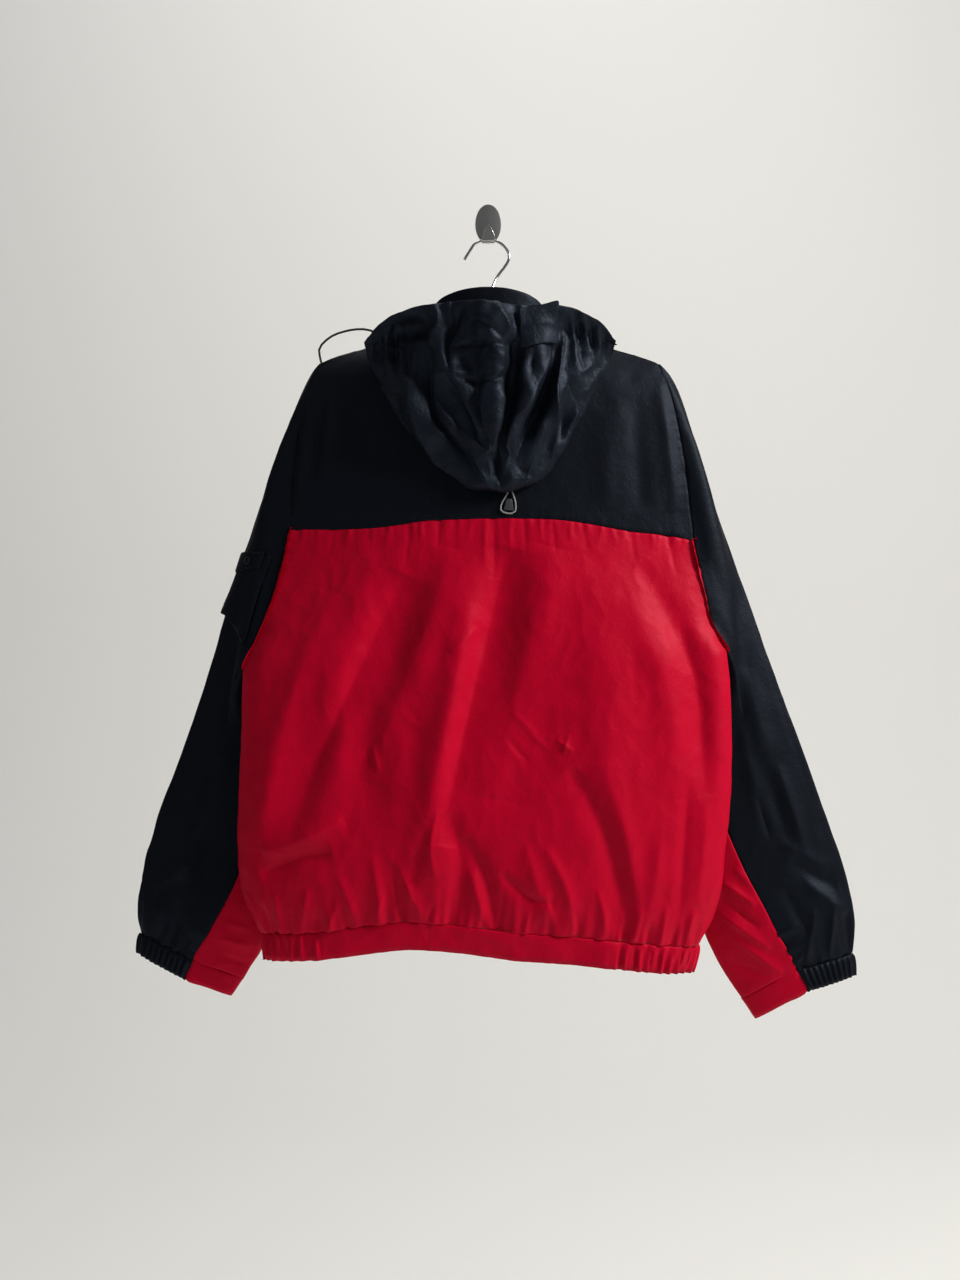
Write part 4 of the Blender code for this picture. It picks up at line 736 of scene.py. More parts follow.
@dataclass
class ClothPiece:
    """One cut and sewn piece of cloth, shown as a thin shell on the outer face of its node.

    Attributes:
        node: the part's node that it stands for.
        finish: the cloth it is cut from.
        cut: the flat piece's width, length and area, in metres; not used.
        level: how finely its mesh is divided.
        core: depth of the plane that the piece looks away from, in metres.
        tube: the tube that it is a part of, if there is one.
        folds: folds and swellings that lie on it.
        puckers: gathers along its seams.
        sag: height of the broad unevenness, in millimetres.
        rumple: height of the fine unevenness, in millimetres.
        crease: height of the crisp little creases, in millimetres.
        held: how the cloth is held; not used.
        groove: how far its surface dips along its edges, in millimetres.
        seam_turn: steps out and down of the allowance at a seam, in millimetres.
        free_turn: steps out and down of a turned hem, in millimetres.
        laid: whether it lies on other cloth, so that no edge is a seam.
        on: the pieces that it lies on or hangs from; not used.
        ribbed: whether elastic gathers it to ribs.
        fine_back: whether the side that faces away from the wall is divided once more.
        zip_edge: how far from the middle its straight edge along the zip lies, in metres.
        surface: the finished cloth, once it is built.
        rim: places close together along its edges, one row each, once it is built.
    """

    node: str
    finish: WovenNylon
    cut: tuple[float, float, float]
    level: int = 3
    core: float = -0.045
    tube: Optional[Tube] = None
    folds: Sequence[Fold | Dimple] = ()
    puckers: Sequence[Pucker] = ()
    sag: float = 0.8
    rumple: float = 0.15
    crease: float = 0.0
    held: str = "hung"
    groove: float = 0.5
    seam_turn: Line = ((0.15, 0.5), (0.5, 1.6))
    free_turn: Line = ((0.05, 0.6), (-0.7, 1.1))
    laid: bool = False
    on: Sequence[str] = ("hanger_arms",)
    ribbed: bool = False
    fine_back: bool = False
    zip_edge: float = 0.0
    surface: Optional[BVHTree] = field(default=None, repr=False)
    rim: Optional[np.ndarray] = field(default=None, repr=False)

    def outer_face(self) -> bmesh.types.BMesh:
        """The node's outer face alone, in four-sided cells where it can be.

        Returns:
            The open mesh.
        """
        mesh = node_mesh(self.node)
        keep = self.outer_ribs(mesh) if self.ribbed else self.outer_sheets(mesh)
        bmesh.ops.delete(mesh, geom=[f for f in mesh.faces if f not in keep], context="FACES")
        bmesh.ops.join_triangles(mesh, faces=mesh.faces, angle_face_threshold=math.pi,
                                 angle_shape_threshold=math.pi)
        return mesh

    def outer_ribs(self, mesh: bmesh.types.BMesh) -> set[bmesh.types.BMFace]:
        """The faces of a gathered piece's outer side, steep flanks of ribs too."""
        outer = {vert for face in mesh.faces if self.facing_out(face) > RIB_FLANK for vert in face.verts}
        return {face for face in mesh.faces if all(vert in outer for vert in face.verts)}

    def outer_sheets(self, mesh: bmesh.types.BMesh) -> set[bmesh.types.BMFace]:
        """The faces of the outer side, found by walking over each side from face to face.

        Args:
            mesh: the whole node.

        Returns:
            The faces to keep.
        """
        tree = BVHTree.FromBMesh(mesh)
        left = {face for face in mesh.faces if self.is_wall(face, tree)}
        keep = set()
        while left:
            grown = [left.pop()]
            for face in grown:
                for other in (o for edge in face.edges for o in edge.link_faces if o in left):
                    if other.normal.dot(face.normal) > SAME_SIDE:
                        left.discard(other)
                        grown.append(other)
            if sum(self.facing_out(face) * face.calc_area() for face in grown) > 0:
                keep.update(grown)
        outer = list(keep)
        for face in outer:
            for other in (o for edge in face.edges for o in edge.link_faces if o not in keep):
                if other.normal.dot(face.normal) > SAME_BORDER:
                    keep.add(other)
                    outer.append(other)
        return keep

    def is_wall(self, face: bmesh.types.BMFace, tree: BVHTree) -> bool:
        """Whether a face lies on the cloth's outer or inner side, with the other side close behind it.

        Args:
            face: the face.
            tree: the whole node.

        Returns:
            False for the narrow faces along its edges.
        """
        start = face.calc_center_median() - face.normal * 0.01 * MM
        hit, normal, _, _ = tree.ray_cast(start, -face.normal, WALL_REACH)
        return hit is not None and normal.dot(face.normal) < -0.5

    def facing_out(self, face: bmesh.types.BMFace) -> float:
        """How much a face looks away from the line that the piece bends round, from -1 to 1.

        Args:
            face: the face.

        Returns:
            The cosine between its normal and the way out.
        """
        middle = face.calc_center_median()
        if self.tube:
            return face.normal.dot(self.tube.away(middle))
        return math.copysign(1, middle.y - self.core) * face.normal.y

    def lift(self, points: np.ndarray, normals: np.ndarray) -> np.ndarray:
        """How far each point moves out along its normal.

        Args:
            points: the points in metres.
            normals: their normals.

        Returns:
            Distances in metres.
        """
        places = points / MM
        x, z = places[:, 0], places[:, 2]
        total = self.sag * ripple(places, *SAG_PATTERN)
        total += self.rumple * ripple(places, *RUMPLE_PATTERN)
        if self.crease:
            total += self.crease * crinkle(places, *CREASE_PATTERN)
        for fold in self.folds:
            shown = np.clip(0.5 + SIDE_BLEND * fold.side.value * normals[:, 1], 0, 1)
            total += fold.lift(x, z) * shown
        distance, nearest = self.seam_distance(points)
        for pucker in self.puckers:
            wave = ripple(nearest / MM, (pucker.pitch,) * 3, GATHER_SEED)
            spread = ripple(nearest / MM, (pucker.pitch * 1.7,) * 3, GATHER_LENGTH_SEED)
            length = pucker.reach * (1.1 + 0.9 * spread)
            shown = (nearest[:, 2] / MM > pucker.low) & (nearest[:, 2] / MM < pucker.high)
            fall = np.exp(-(distance / MM / length) ** GATHER_FALL)
            total += shown * pucker.height * 2 * wave * fall
        total -= self.groove * np.exp(-(distance / MM / GROOVE_WIDTH) ** 2)
        return total * MM

    def seam_distance(self, points: np.ndarray) -> tuple[np.ndarray, np.ndarray]:
        """Distance of each point from the piece's edge, and the place of the edge nearest to it.

        Args:
            points: the points in metres.

        Returns:
            The distances, and the places one row each.
        """
        tree = KDTree(len(self.rim))
        for i, point in enumerate(self.rim):
            tree.insert(point, i)
        tree.balance()
        found = [tree.find(p) for p in points.tolist()]
        nearest = np.array([f[0][:] for f in found])
        return np.array([f[2] for f in found]), nearest

    def edge_points(self, mesh: bpy.types.Mesh, spacing: float = 1.0 * MM) -> np.ndarray:
        """Points close together along the open edges of a mesh.

        Args:
            mesh: the mesh.
            spacing: the widest step between them, in metres.

        Returns:
            The points, one row each.
        """
        result = []
        for a, b in open_edges(mesh):
            start, end = mesh.vertices[a].co, mesh.vertices[b].co
            parts = max(1, math.ceil((end - start).length / spacing))
            result += [start.lerp(end, i / parts)[:] for i in range(parts)]
        return np.array(result)

    def shape(self, points: np.ndarray, normals: np.ndarray) -> np.ndarray:
        """The points of the finished cloth."""
        return points + normals * self.lift(points, normals)[:, None]

    def divided(self, mesh: bpy.types.Mesh) -> bpy.types.Mesh:
        """A finer, smooth mesh that still passes through the corners of the node's own cells.

        Args:
            mesh: the coarse mesh, which is used up.

        Returns:
            The finer mesh.
        """
        corners = coordinates(mesh)
        finer = [("SUBSURF", {"levels": self.level, "render_levels": self.level})]
        for _ in range(FIT_ROUNDS):
            smooth = evaluated_mesh(mesh.copy(), finer)
            short = corners - coordinates(smooth)[:len(corners)]
            mesh.vertices.foreach_set("co", (coordinates(mesh) + short).ravel())
            bpy.data.meshes.remove(smooth)
        mesh = evaluated_mesh(mesh, finer)
        for place in {i for edge in open_edges(mesh) for i in edge} if self.zip_edge else ():
            point = mesh.vertices[place].co
            if abs(point.x) < 2 * self.zip_edge and point.y > self.core:
                point.x = math.copysign(self.zip_edge, point.x)
        if not self.fine_back:
            return mesh
        fine = bmesh.new()
        fine.from_mesh(mesh)
        bpy.data.meshes.remove(mesh)
        edges = {edge for face in fine.faces if face.normal.y < BACK_FACING for edge in face.edges}
        bmesh.ops.subdivide_edges(fine, edges=list(edges), cuts=1, use_grid_fill=True)
        return as_mesh(fine, self.node)

    def turned_in(self, mesh: bpy.types.Mesh) -> bpy.types.Mesh:
        """The mesh with its edges turned in: as a seam's allowance at seams, as a hem elsewhere.

        Args:
            mesh: the finished cloth, which is used up.

        Returns:
            The mesh with its turned edges.
        """
        cloth = bmesh.new()
        cloth.from_mesh(mesh)
        bpy.data.meshes.remove(mesh)
        neighbours = others_of(self.node)
        outward: dict[bmesh.types.BMVert, Vector] = {}
        edges = [edge for edge in cloth.edges if len(edge.link_faces) == 1]
        for edge in edges:
            face = edge.link_faces[0]
            across = (edge.verts[1].co - edge.verts[0].co).cross(face.normal)
            if across.dot(edge.verts[0].co - face.calc_center_median()) < 0:
                across.negate()
            for vert in edge.verts:
                outward[vert] = outward.get(vert, Vector()) + across.normalized()
        rings = []
        for seam_step, free_step in zip(self.seam_turn, self.free_turn):
            ring = {}
            for vert, way in outward.items():
                seam = not self.laid and neighbours.find_nearest(vert.co, SEAM_REACH)[0] is not None
                out, down = seam_step if seam else free_step
                ring[vert] = cloth.verts.new(vert.co + (way.normalized() * out - vert.normal * down) * MM)
            rings.append(ring)
        for edge in edges:
            loop = next(loop for loop in edge.link_faces[0].loops if loop.edge == edge)
            a, b = loop.vert, loop.link_loop_next.vert
            above = (a, b)
            for ring in rings:
                below = (ring[a], ring[b])
                cloth.faces.new((above[1], above[0], below[0], below[1]))
                above = below
        return as_mesh(cloth, self.node)

    def build(self) -> bpy.types.Object:
        """Makes the piece and places it.

        Returns:
            The piece's object.
        """
        mesh = self.divided(as_mesh(self.outer_face(), self.node))
        points, normals = coordinates(mesh), np.empty(len(mesh.vertices) * 3)
        mesh.vertex_normals.foreach_get("vector", normals)
        self.rim = self.edge_points(mesh)
        moved = self.shape(points, normals.reshape(-1, 3))
        mesh.vertices.foreach_set("co", moved.ravel())
        mesh.update()
        polygons = [tuple(p.vertices) for p in mesh.polygons]
        self.surface = BVHTree.FromPolygons([tuple(p) for p in moved.tolist()], polygons)
        self.rim = self.edge_points(mesh)
        mesh = self.turned_in(mesh)
        smooth_faces(mesh)
        piece = place_piece(self.node + "_cloth", mesh, self.finish, (self.node,))
        return piece


def build_all(pieces: Sequence[ClothPiece]) -> dict[str, ClothPiece]:
    """Builds pieces of cloth one after another.

    Args:
        pieces: the pieces.

    Returns:
        The pieces by node.
    """
    for piece in pieces:
        piece.build()
    return {piece.node: piece for piece in pieces}


# A look along Y starts this far from the wall's plane, clear of the jacket, in metres
LOOK_FROM = 0.5


def at_depth(piece: ClothPiece, x: float, z: float, facing: Side = Side.BACK
             ) -> Optional[tuple[Vector, Vector]]:
    """The place and facing of a finished cloth piece at x and z, or None past its edge.

    Args:
        piece: the cloth, already built.
        x: place across, in metres.
        z: place up, in metres.
        facing: the side it is looked at from.

    Returns:
        The point and the outward normal.
    """
    way = facing.value
    hit, normal, _, _ = piece.surface.ray_cast(Vector((x, way * LOOK_FROM, z)), Vector((0, -way, 0)))
    if hit is None:
        return None
    return hit, normal if normal.y * way > 0 else -normal


@dataclass
class StitchLine:
    """A row of lockstitches sewn along a line on the cloth.

    Attributes:
        name: the row's name.
        line: places along it, in millimetres.
        cloth: the piece that it is sewn on.
        finish: its thread.
        side: the side of the jacket it shows on.
        pitch: length of a stitch and its gap, in metres.
        radius: the thread's radius, in metres.
        fill: the stitch's share of its pitch.
    """

    name: str
    line: Line
    cloth: ClothPiece
    finish: WovenNylon
    side: Side = Side.BACK
    pitch: float = 3.2 * MM
    radius: float = 0.32 * MM
    fill: float = 0.7

    def build(self) -> Optional[bpy.types.Object]:
        """Makes each stitch as a short rounded bar that lies on the cloth.

        Returns:
            The row's object, or None where the line misses the cloth.
        """
        marks = smooth_line(self.line) * MM
        reach = np.concatenate(([0.0], np.cumsum(np.hypot(*np.diff(marks, axis=0).T))))
        mesh = bmesh.new()
        half = self.pitch * self.fill / 2
        for step in np.arange(self.pitch, reach[-1], self.pitch):
            ends = []
            for offset in (-half, half):
                x = float(np.interp(step + offset, reach, marks[:, 0]))
                z = float(np.interp(step + offset, reach, marks[:, 1]))
                ends.append(at_depth(self.cloth, x, z, self.side))
            if None in ends or (ends[0][0] - ends[1][0]).length > 3 * half:
                continue
            add_bar(mesh, ends[0][0], ends[1][0], ends[0][1], self.radius)
        if not mesh.verts:
            mesh.free()
            return None
        data = as_mesh(mesh, self.name)
        smooth_faces(data)
        return place_piece(self.name, data, self.finish)


# A stitch's cross-sections as shares of its length and radius, its sides, and how far it stands out
BAR_SECTIONS = ((0.12, 0.7), (0.5, 1.0), (0.88, 0.7))
BAR_SIDES = 6
BAR_RISE = 0.35


def add_bar(mesh: bmesh.types.BMesh, start: Vector, end: Vector, facing: Vector, radius: float) -> None:
    """Adds a short bar with pointed ends, half sunk in the cloth.

    Args:
        mesh: the mesh it joins.
        start: one end on the cloth.
        end: the other end.
        facing: the cloth's outward normal.
        radius: the thread's radius.
    """
    along = (end - start).normalized()
    across = along.cross(facing).normalized()
    rings = []
    for share, size in BAR_SECTIONS:
        middle = start.lerp(end, share) + facing * radius * BAR_RISE
        rings.append([mesh.verts.new(middle + (across * math.cos(a) + facing * math.sin(a)) * radius * size)
                      for a in (math.tau * k / BAR_SIDES for k in range(BAR_SIDES))])
    tips = [mesh.verts.new(start), mesh.verts.new(end)]
    join_rings(mesh, rings)
    for k in range(BAR_SIDES):
        mesh.faces.new((rings[0][(k + 1) % BAR_SIDES], rings[0][k], tips[0]))
        mesh.faces.new((rings[-1][k], rings[-1][(k + 1) % BAR_SIDES], tips[1]))


def folds_from(table: Rows, side: Side = Side.BACK) -> list[Fold]:
    """Folds from rows of x, z to x, z, half width, height and crest, which show on one side."""
    return [Fold(((x0, z0), (x1, z1)), width, height, crest, side)
            for x0, z0, x1, z1, width, height, crest in table]


# body


# Turn of a seam whose gathers lift the cloth off its neighbour: steps out and down, in millimetres
DEEP_TURN: Line = ((0.15, 0.5), (0.8, 5.0))


@dataclass
class BodyShell:
    """The jacket's back, fronts, yokes and collar.

    Attributes:
        pieces: its pieces by node, once they are built.
        yoke_stitch: the yoke's stitches above its seam, in millimetres.
        collar_stitch: the collar's stitches below its edge, in millimetres.
        hem_height: height of the hem seam at its left end, in millimetres.
        hem_left: its left end, in millimetres.
        hem_slope: how much it falls towards the right.
        hem_rise: how much higher its plain middle is, in millimetres.
        hem_middle: half width of the plain middle, in millimetres.
        yoke_seam: height of the yoke's seam, in millimetres.
        zip_gap: how far the fronts stay from the middle, in metres.
    """

    pieces: dict[str, ClothPiece] = field(default_factory=dict)
    yoke_stitch: float = 5
    collar_stitch: float = 9
    hem_height: float = -786
    hem_left: float = -245
    hem_slope: float = 0.045
    hem_rise: float = 18
    hem_middle: float = 130
    yoke_seam: float = -330
    zip_gap: float = 4 * MM
    tube_nodes: Sequence[str] = ("back_panel", "back_yoke", "front_panel_left", "front_panel_right",
                                 "front_yoke_left", "front_yoke_right")

    # Long soft folds of the red back: places, half width, height, crest
    long_folds: CurvedRows = (
        (((-42, -371), (-64, -457), (-101, -548), (-128, -623)), 20, 6.5, 1.7),
        (((-90, -400), (-144, -516), (-187, -601), (-219, -700)), 22, -10.5, 1.6),
        (((-171, -419), (-214, -537), (-246, -690)), 16, 5.0, 1.8),
        (((70, -371), (48, -462), (27, -548), (11, -640)), 26, 8.0, 1.8),
        (((22, -371), (3, -457), (-16, -537), (-37, -623), (-50, -690)), 21, -11.0, 1.6),
        (((-21, -430), (-42, -548), (-64, -655), (-62, -700)), 14, 5.5, 1.7),
        (((84, -610), (106, -640), (132, -700), (150, -790)), 13, -6.5, 1.5),
        (((120, -600), (146, -680), (164, -790)), 11, 4.0, 1.6),
        (((150, -420), (190, -520), (206, -640)), 18, 4.5, 1.8),
        (((196, -420), (226, -520), (236, -640)), 11, -4.5, 1.7),
        (((-54, -650), (-62, -690), (-57, -726)), 4.5, 2.6, 1.3),
        (((-42, -655), (-30, -705), (-36, -795)), 12, -5.5, 1.6),
        (((-246, -724), (-209, -708), (-168, -698)), 9, -8.0, 1.3),
        (((-244, -700), (-206, -686), (-156, -662)), 10, 5.5, 1.5),
        (((-26, -680), (-2, -730), (9, -790)), 9, -5.5, 1.5),
        (((11, -719), (43, -746), (72, -752)), 6, -3.2, 1.5),
        (((-104, -706), (-96, -742), (-88, -790)), 6, -3.4, 1.5),
        (((-124, -700), (-118, -744), (-116, -790)), 6, 3.0, 1.6),
        (((60, -690), (84, -740), (92, -790)), 7, 3.4, 1.6),
    )
    # Crisp folds of the red back: x, z to x, z, half width, height, crest
    back_creases: Rows = (
        (-124, -583, -117, -613, 2.6, 2.2, 1.3),
        (-130, -588, -124, -607, 2.4, -1.4, 1.6),
        (72, -577, 91, -591, 3.0, 2.2, 1.2),
        (86, -571, 79, -594, 2.6, 1.6, 1.3),
        (24, -548, 52, -572, 3.4, 1.0, 1.5),
        (40, -566, 66, -590, 3.0, 1.0, 1.4),
        (18, -575, 44, -603, 3.2, -0.9, 1.5),
        (-42, -484, -10, -457, 5.0, 1.6, 1.4),
        (-62, -660, -84, -735, 7, -2.6, 1.8),
        (186, -665, 172, -778, 8, 2.2, 1.6),
        (216, -620, 205, -780, 8, -3.6, 1.5),
        (236, -640, 226, -760, 6, 1.4, 1.8),
        (168, -385, 222, -505, 12, -3.0, 2.0),
        (-232, -560, -252, -700, 12, 2.6, 2.0),
        (-100, -705, -70, -770, 6, 2.6, 1.5),
        (-20, -715, -2, -780, 6, 2.4, 1.6),
        (40, -690, 62, -775, 8, 2.6, 1.7),
        (-160, -722, -140, -778, 6, 2.2, 1.6),
    )
    # Folds that fan up from the hem: x of the foot, x of the top, length, half width, height
    hem_folds: Rows = (
        (-246, -262, 42, 4.0, 2.6), (-236, -246, 30, 3.0, -2.0), (-226, -231, 44, 3.6, 2.4),
        (-214, -212, 26, 3.0, -1.8), (-203, -194, 52, 4.0, 2.6), (-190, -184, 24, 3.0, -1.6),
        (-176, -160, 40, 4.0, 2.0), (-150, -146, 22, 3.0, -1.2), (-122, -112, 34, 4.0, 1.6),
        (-82, -86, 46, 4.5, 2.0), (-66, -58, 26, 3.0, -1.6), (-34, -28, 20, 3.0, 1.0),
        (6, 2, 28, 3.6, -1.2), (38, 44, 20, 3.0, 1.0), (72, 58, 44, 4.4, 1.8),
        (96, 92, 24, 3.0, -1.4), (128, 116, 50, 4.2, 2.2), (142, 148, 28, 3.0, -2.0),
        (156, 164, 46, 3.8, 2.6), (170, 172, 26, 3.0, -2.0), (184, 192, 50, 3.8, 2.6),
        (198, 204, 28, 3.0, -2.2), (210, 222, 44, 3.6, 2.6), (224, 236, 32, 3.4, 2.2),
    )
    # Tucks below the yoke seam: x, length, half width, height
    yoke_tucks: Rows = (
        (-196, 26, 3.0, 0.9), (-163, 34, 3.0, -1.0), (-146, 22, 2.6, 0.9), (-124, 20, 2.6, -0.8),
        (-104, 24, 2.8, 1.0), (-84, 46, 3.2, -1.2), (-70, 22, 2.6, 0.8), (-52, 26, 2.8, -0.9),
        (-20, 18, 2.6, 0.7), (-4, 46, 3.6, 1.2), (6, 60, 4.5, -1.6), (22, 30, 2.8, 0.9),
        (38, 34, 3.0, -1.0), (54, 20, 2.6, 0.8), (68, 34, 3.0, -1.1), (84, 20, 2.6, 0.8),
        (100, 28, 2.8, -0.9), (130, 24, 2.8, 0.9), (150, 40, 3.2, -1.1), (170, 26, 2.8, 0.9),
        (192, 56, 4.0, -1.3), (206, 24, 2.8, 0.9),
    )
    # Soft folds of the yoke, which the sleeves pull
    yoke_folds: Rows = (
        (-196, -196, -210, -330, 7, 3.4, 1.5),
        (-184, -200, -196, -310, 8, -3.2, 1.8),
        (-168, -190, -178, -300, 10, 2.2, 2.0),
        (126, -215, 130, -330, 14, 2.4, 2.0),
        (160, -200, 168, -330, 12, -3.0, 2.0),
        (188, -180, 206, -330, 9, 3.2, 1.8),
        (-60, -320, 60, -326, 9, 0.8, 2.0),
    )
    # Soft folds of the plain fronts
    front_creases: Rows = (
        (-120, -390, -150, -700, 22, 4.0, 2.0),
        (-70, -400, -78, -720, 18, -3.4, 2.0),
        (-165, -560, -140, -740, 12, 3.0, 1.7),
        (-30, -520, -52, -760, 12, 3.0, 1.8),
        (62, -390, 88, -700, 20, 3.8, 2.0),
        (118, -420, 128, -730, 18, -3.4, 2.0),
        (158, -540, 140, -750, 11, 3.0, 1.7),
        (36, -560, 50, -770, 12, 2.6, 1.8),
        (-140, -200, -120, -330, 14, 2.4, 2.0),
        (140, -205, 118, -330, 14, 2.6, 2.0),
        (-70, -210, -90, -330, 12, -2.0, 2.0),
        (80, -215, 92, -330, 12, -2.0, 2.0),
    )

    def back_folds(self) -> list[Fold]:
        """Every fold of the red back.

        Returns:
            The folds.
        """
        result = folds_from(self.back_creases)
        result += [Fold(*row) for row in self.long_folds]
        for foot, top, length, width, height in self.hem_folds:
            hem = self.hem_height - self.hem_slope * (foot - self.hem_left)
            hem += self.hem_rise if abs(foot) < self.hem_middle else 0
            line = ((foot, hem - 10), (foot + (top - foot) * 0.4, hem + length * 0.4), (top, hem + length))
            result.append(Fold(line, width, height, 1.5))
        for x, length, width, height in self.yoke_tucks:
            line = ((x, self.yoke_seam), (x + 0.07 * x, self.yoke_seam - 15 - length))
            result.append(Fold(line, width, height * 0.8, 1.6))
        return result

    def build(self) -> None:
        """Makes the pieces and the stitching along their seams."""
        fronts = folds_from(self.front_creases, Side.FRONT)
        tube = Tube(self.tube_nodes)
        hem_gathers = Pucker(2.0, 8, 18, high=-770)
        yoke_gathers = Pucker(0.6, 6, 9, low=-372)
        plans = (
            ClothPiece("back_panel", RED_NYLON, (0.64, 0.48, 0.275), tube=tube, fine_back=True,
                       folds=self.back_folds() + fronts, sag=1.4, rumple=0.4, crease=0.3,
                       seam_turn=DEEP_TURN, puckers=(hem_gathers, yoke_gathers, Pucker(0.3, 9, 7))),
            ClothPiece("back_yoke", BLACK_NYLON, (0.46, 0.25, 0.09), tube=tube, level=4,
                       folds=folds_from(self.yoke_folds), puckers=(Pucker(0.3, 6, 6),), sag=0.9,
                       rumple=0.25, crease=0.12),
            ClothPiece("collar", BLACK_NYLON, (0.36, 0.046, 0.0125), tube=Tube(("collar",), 3), level=4,
                       puckers=(Pucker(0.5, 14, 8),), sag=0.5, on=("back_yoke_cloth",)),
        )
        for side in ("left", "right"):
            plans += (
                ClothPiece(f"front_yoke_{side}", BLACK_NYLON, (0.21, 0.25, 0.0388), tube=tube,
                           zip_edge=self.zip_gap, folds=fronts, puckers=(Pucker(0.3, 6, 6),)),
                ClothPiece(f"front_panel_{side}", RED_NYLON, (0.22, 0.47, 0.088), tube=tube,
                           folds=fronts, puckers=(Pucker(1.2, 9, 16, high=-770), Pucker(0.3, 8, 6)),
                           rumple=0.25, zip_edge=self.zip_gap, seam_turn=DEEP_TURN),
            )
        self.pieces = build_all(plans)
        self.sew()

    def seam_height(self, node: str, lower: bool, step: float = 6.0) -> list[tuple[float, float]]:
        """The lower or upper edge of a back piece as x and z in millimetres, from left to right.

        Args:
            node: the piece.
            lower: whether its lower edge is meant.
            step: spacing of the places across.

        Returns:
            The places along the edge.
        """
        rim = self.pieces[node].rim / MM
        rim = rim[rim[:, 1] < self.pieces[node].core / MM]
        result = []
        for x in np.arange(rim[:, 0].min() + step, rim[:, 0].max(), step):
            near = rim[np.abs(rim[:, 0] - x) < step / 2]
            if len(near):
                result.append((float(x), float(near[:, 2].min() if lower else near[:, 2].max())))
        return result

    def sew(self) -> None:
        """Sews the rows of stitches above the yoke seam and below the collar's upper edge."""
        seam = [(x, z + self.yoke_stitch) for x, z in self.seam_height("back_yoke", True)]
        StitchLine("yoke_topstitch", seam[::3], self.pieces["back_yoke"], BLACK_THREAD).build()
        edge = [(x, z - self.collar_stitch) for x, z in self.seam_height("collar", False) if abs(x) < 60]
        StitchLine("collar_topstitch", edge[::3], self.pieces["collar"], BLACK_THREAD).build()


# sleeves and bands


@dataclass
class Sleeves:
    """Both sleeves: black outer pieces and red under pieces, gathered at the cuffs."""

    # Folds of each piece of both sleeves: x, z to x, z, half width, height, crest
    right_folds: Rows = (
        (286, -500, 316, -640, 12, 2.6, 2.0),
        (300, -590, 336, -700, 10, -3.0, 1.8),
        (320, -610, 352, -705, 9, 3.6, 1.6),
        (279, -560, 302, -676, 8, 2.0, 1.8),
        (296, -640, 312, -690, 4, -2.2, 1.4),
        (335, -712, 390, -748, 9, -3.2, 1.8),
        (322, -694, 378, -730, 8, 3.0, 1.7),
        (348, -738, 400, -776, 8, 3.6, 1.5),
        (326, -745, 360, -806, 7, -2.8, 1.7),
        (384, -760, 378, -822, 5, 3.2, 1.5),
        (398, -772, 404, -820, 4.5, -2.6, 1.6),
        (362, -768, 352, -826, 5, 2.8, 1.5),
        (228, -240, 262, -420, 12, 2.2, 2.0),
        (206, -220, 236, -400, 9, -2.4, 2.0),
    )
    right_red_folds: Rows = (
        (258, -738, 296, -764, 4.5, 3.4, 1.3),
        (256, -756, 300, -790, 4.0, -2.8, 1.4),
        (254, -772, 312, -812, 5.0, 3.2, 1.3),
        (270, -800, 326, -840, 5.0, 2.4, 1.4),
        (272, -722, 290, -742, 4.0, 1.4, 1.6),
        (266, -826, 312, -846, 4.0, -1.2, 1.7),
    )
    left_folds: Rows = (
        (-288, -520, -318, -690, 14, 2.6, 2.0),
        (-316, -620, -342, -735, 11, 3.2, 1.8),
        (-300, -600, -322, -730, 9, -2.8, 1.8),
        (-352, -690, -368, -770, 9, -2.8, 1.7),
        (-378, -742, -384, -796, 5, 2.6, 1.6),
        (-362, -752, -368, -800, 5, 3.2, 1.5),
        (-346, -760, -344, -812, 5, -2.4, 1.6),
        (-330, -768, -324, -816, 6, 2.6, 1.6),
        (-224, -240, -258, -350, 10, 2.0, 2.0),
        (-330, -716, -374, -748, 8, 2.2, 1.7),
    )
    left_red_folds: Rows = (
        (-300, -800, -262, -812, 5.0, 1.6, 1.7),
        (-296, -820, -264, -834, 4.0, -1.2, 1.7),
        (-290, -782, -266, -792, 4.0, 1.2, 1.7),
    )
    # The same kind of folds on the side that faces the wall
    hidden_folds: Rows = (
        (300, -560, 336, -690, 12, 3.0, 1.9),
        (334, -700, 390, -738, 9, 3.0, 1.7),
        (350, -742, 396, -770, 7, -2.6, 1.7),
        (258, -380, 296, -500, 12, 2.2, 2.0),
    )

    def build(self) -> None:
        """Makes the four pieces of both sleeves."""
        hidden = folds_from(self.hidden_folds, Side.FRONT)
        mirrored = [Fold([(-x, z + 18) for x, z in f.line], f.width, f.height, f.crest, f.side)
                    for f in hidden]
        gathers = (Pucker(1.5, 9, 20, high=-795), Pucker(0.3, 9, 7))
        cuts = {"left": ((0.25, 0.62, 0.0905), (0.13, 0.42, 0.0352)),
                "right": ((0.26, 0.67, 0.0985), (0.14, 0.45, 0.0418))}
        for side, folds, red, far in (("left", self.left_folds, self.left_red_folds, mirrored),
                                      ("right", self.right_folds, self.right_red_folds, hidden)):
            outer, under = cuts[side]
            tube = Tube((f"sleeve_outer_{side}", f"sleeve_under_{side}"))
            build_all((
                ClothPiece(f"sleeve_outer_{side}", BLACK_NYLON, outer, tube=tube,
                           folds=folds_from(folds) + far, puckers=gathers, rumple=0.3, crease=0.2),
                ClothPiece(f"sleeve_under_{side}", RED_NYLON, under, tube=tube, level=4,
                           folds=folds_from(red) + far, puckers=(Pucker(0.25, 8, 8),), rumple=0.4,
                           crease=0.3),
            ))


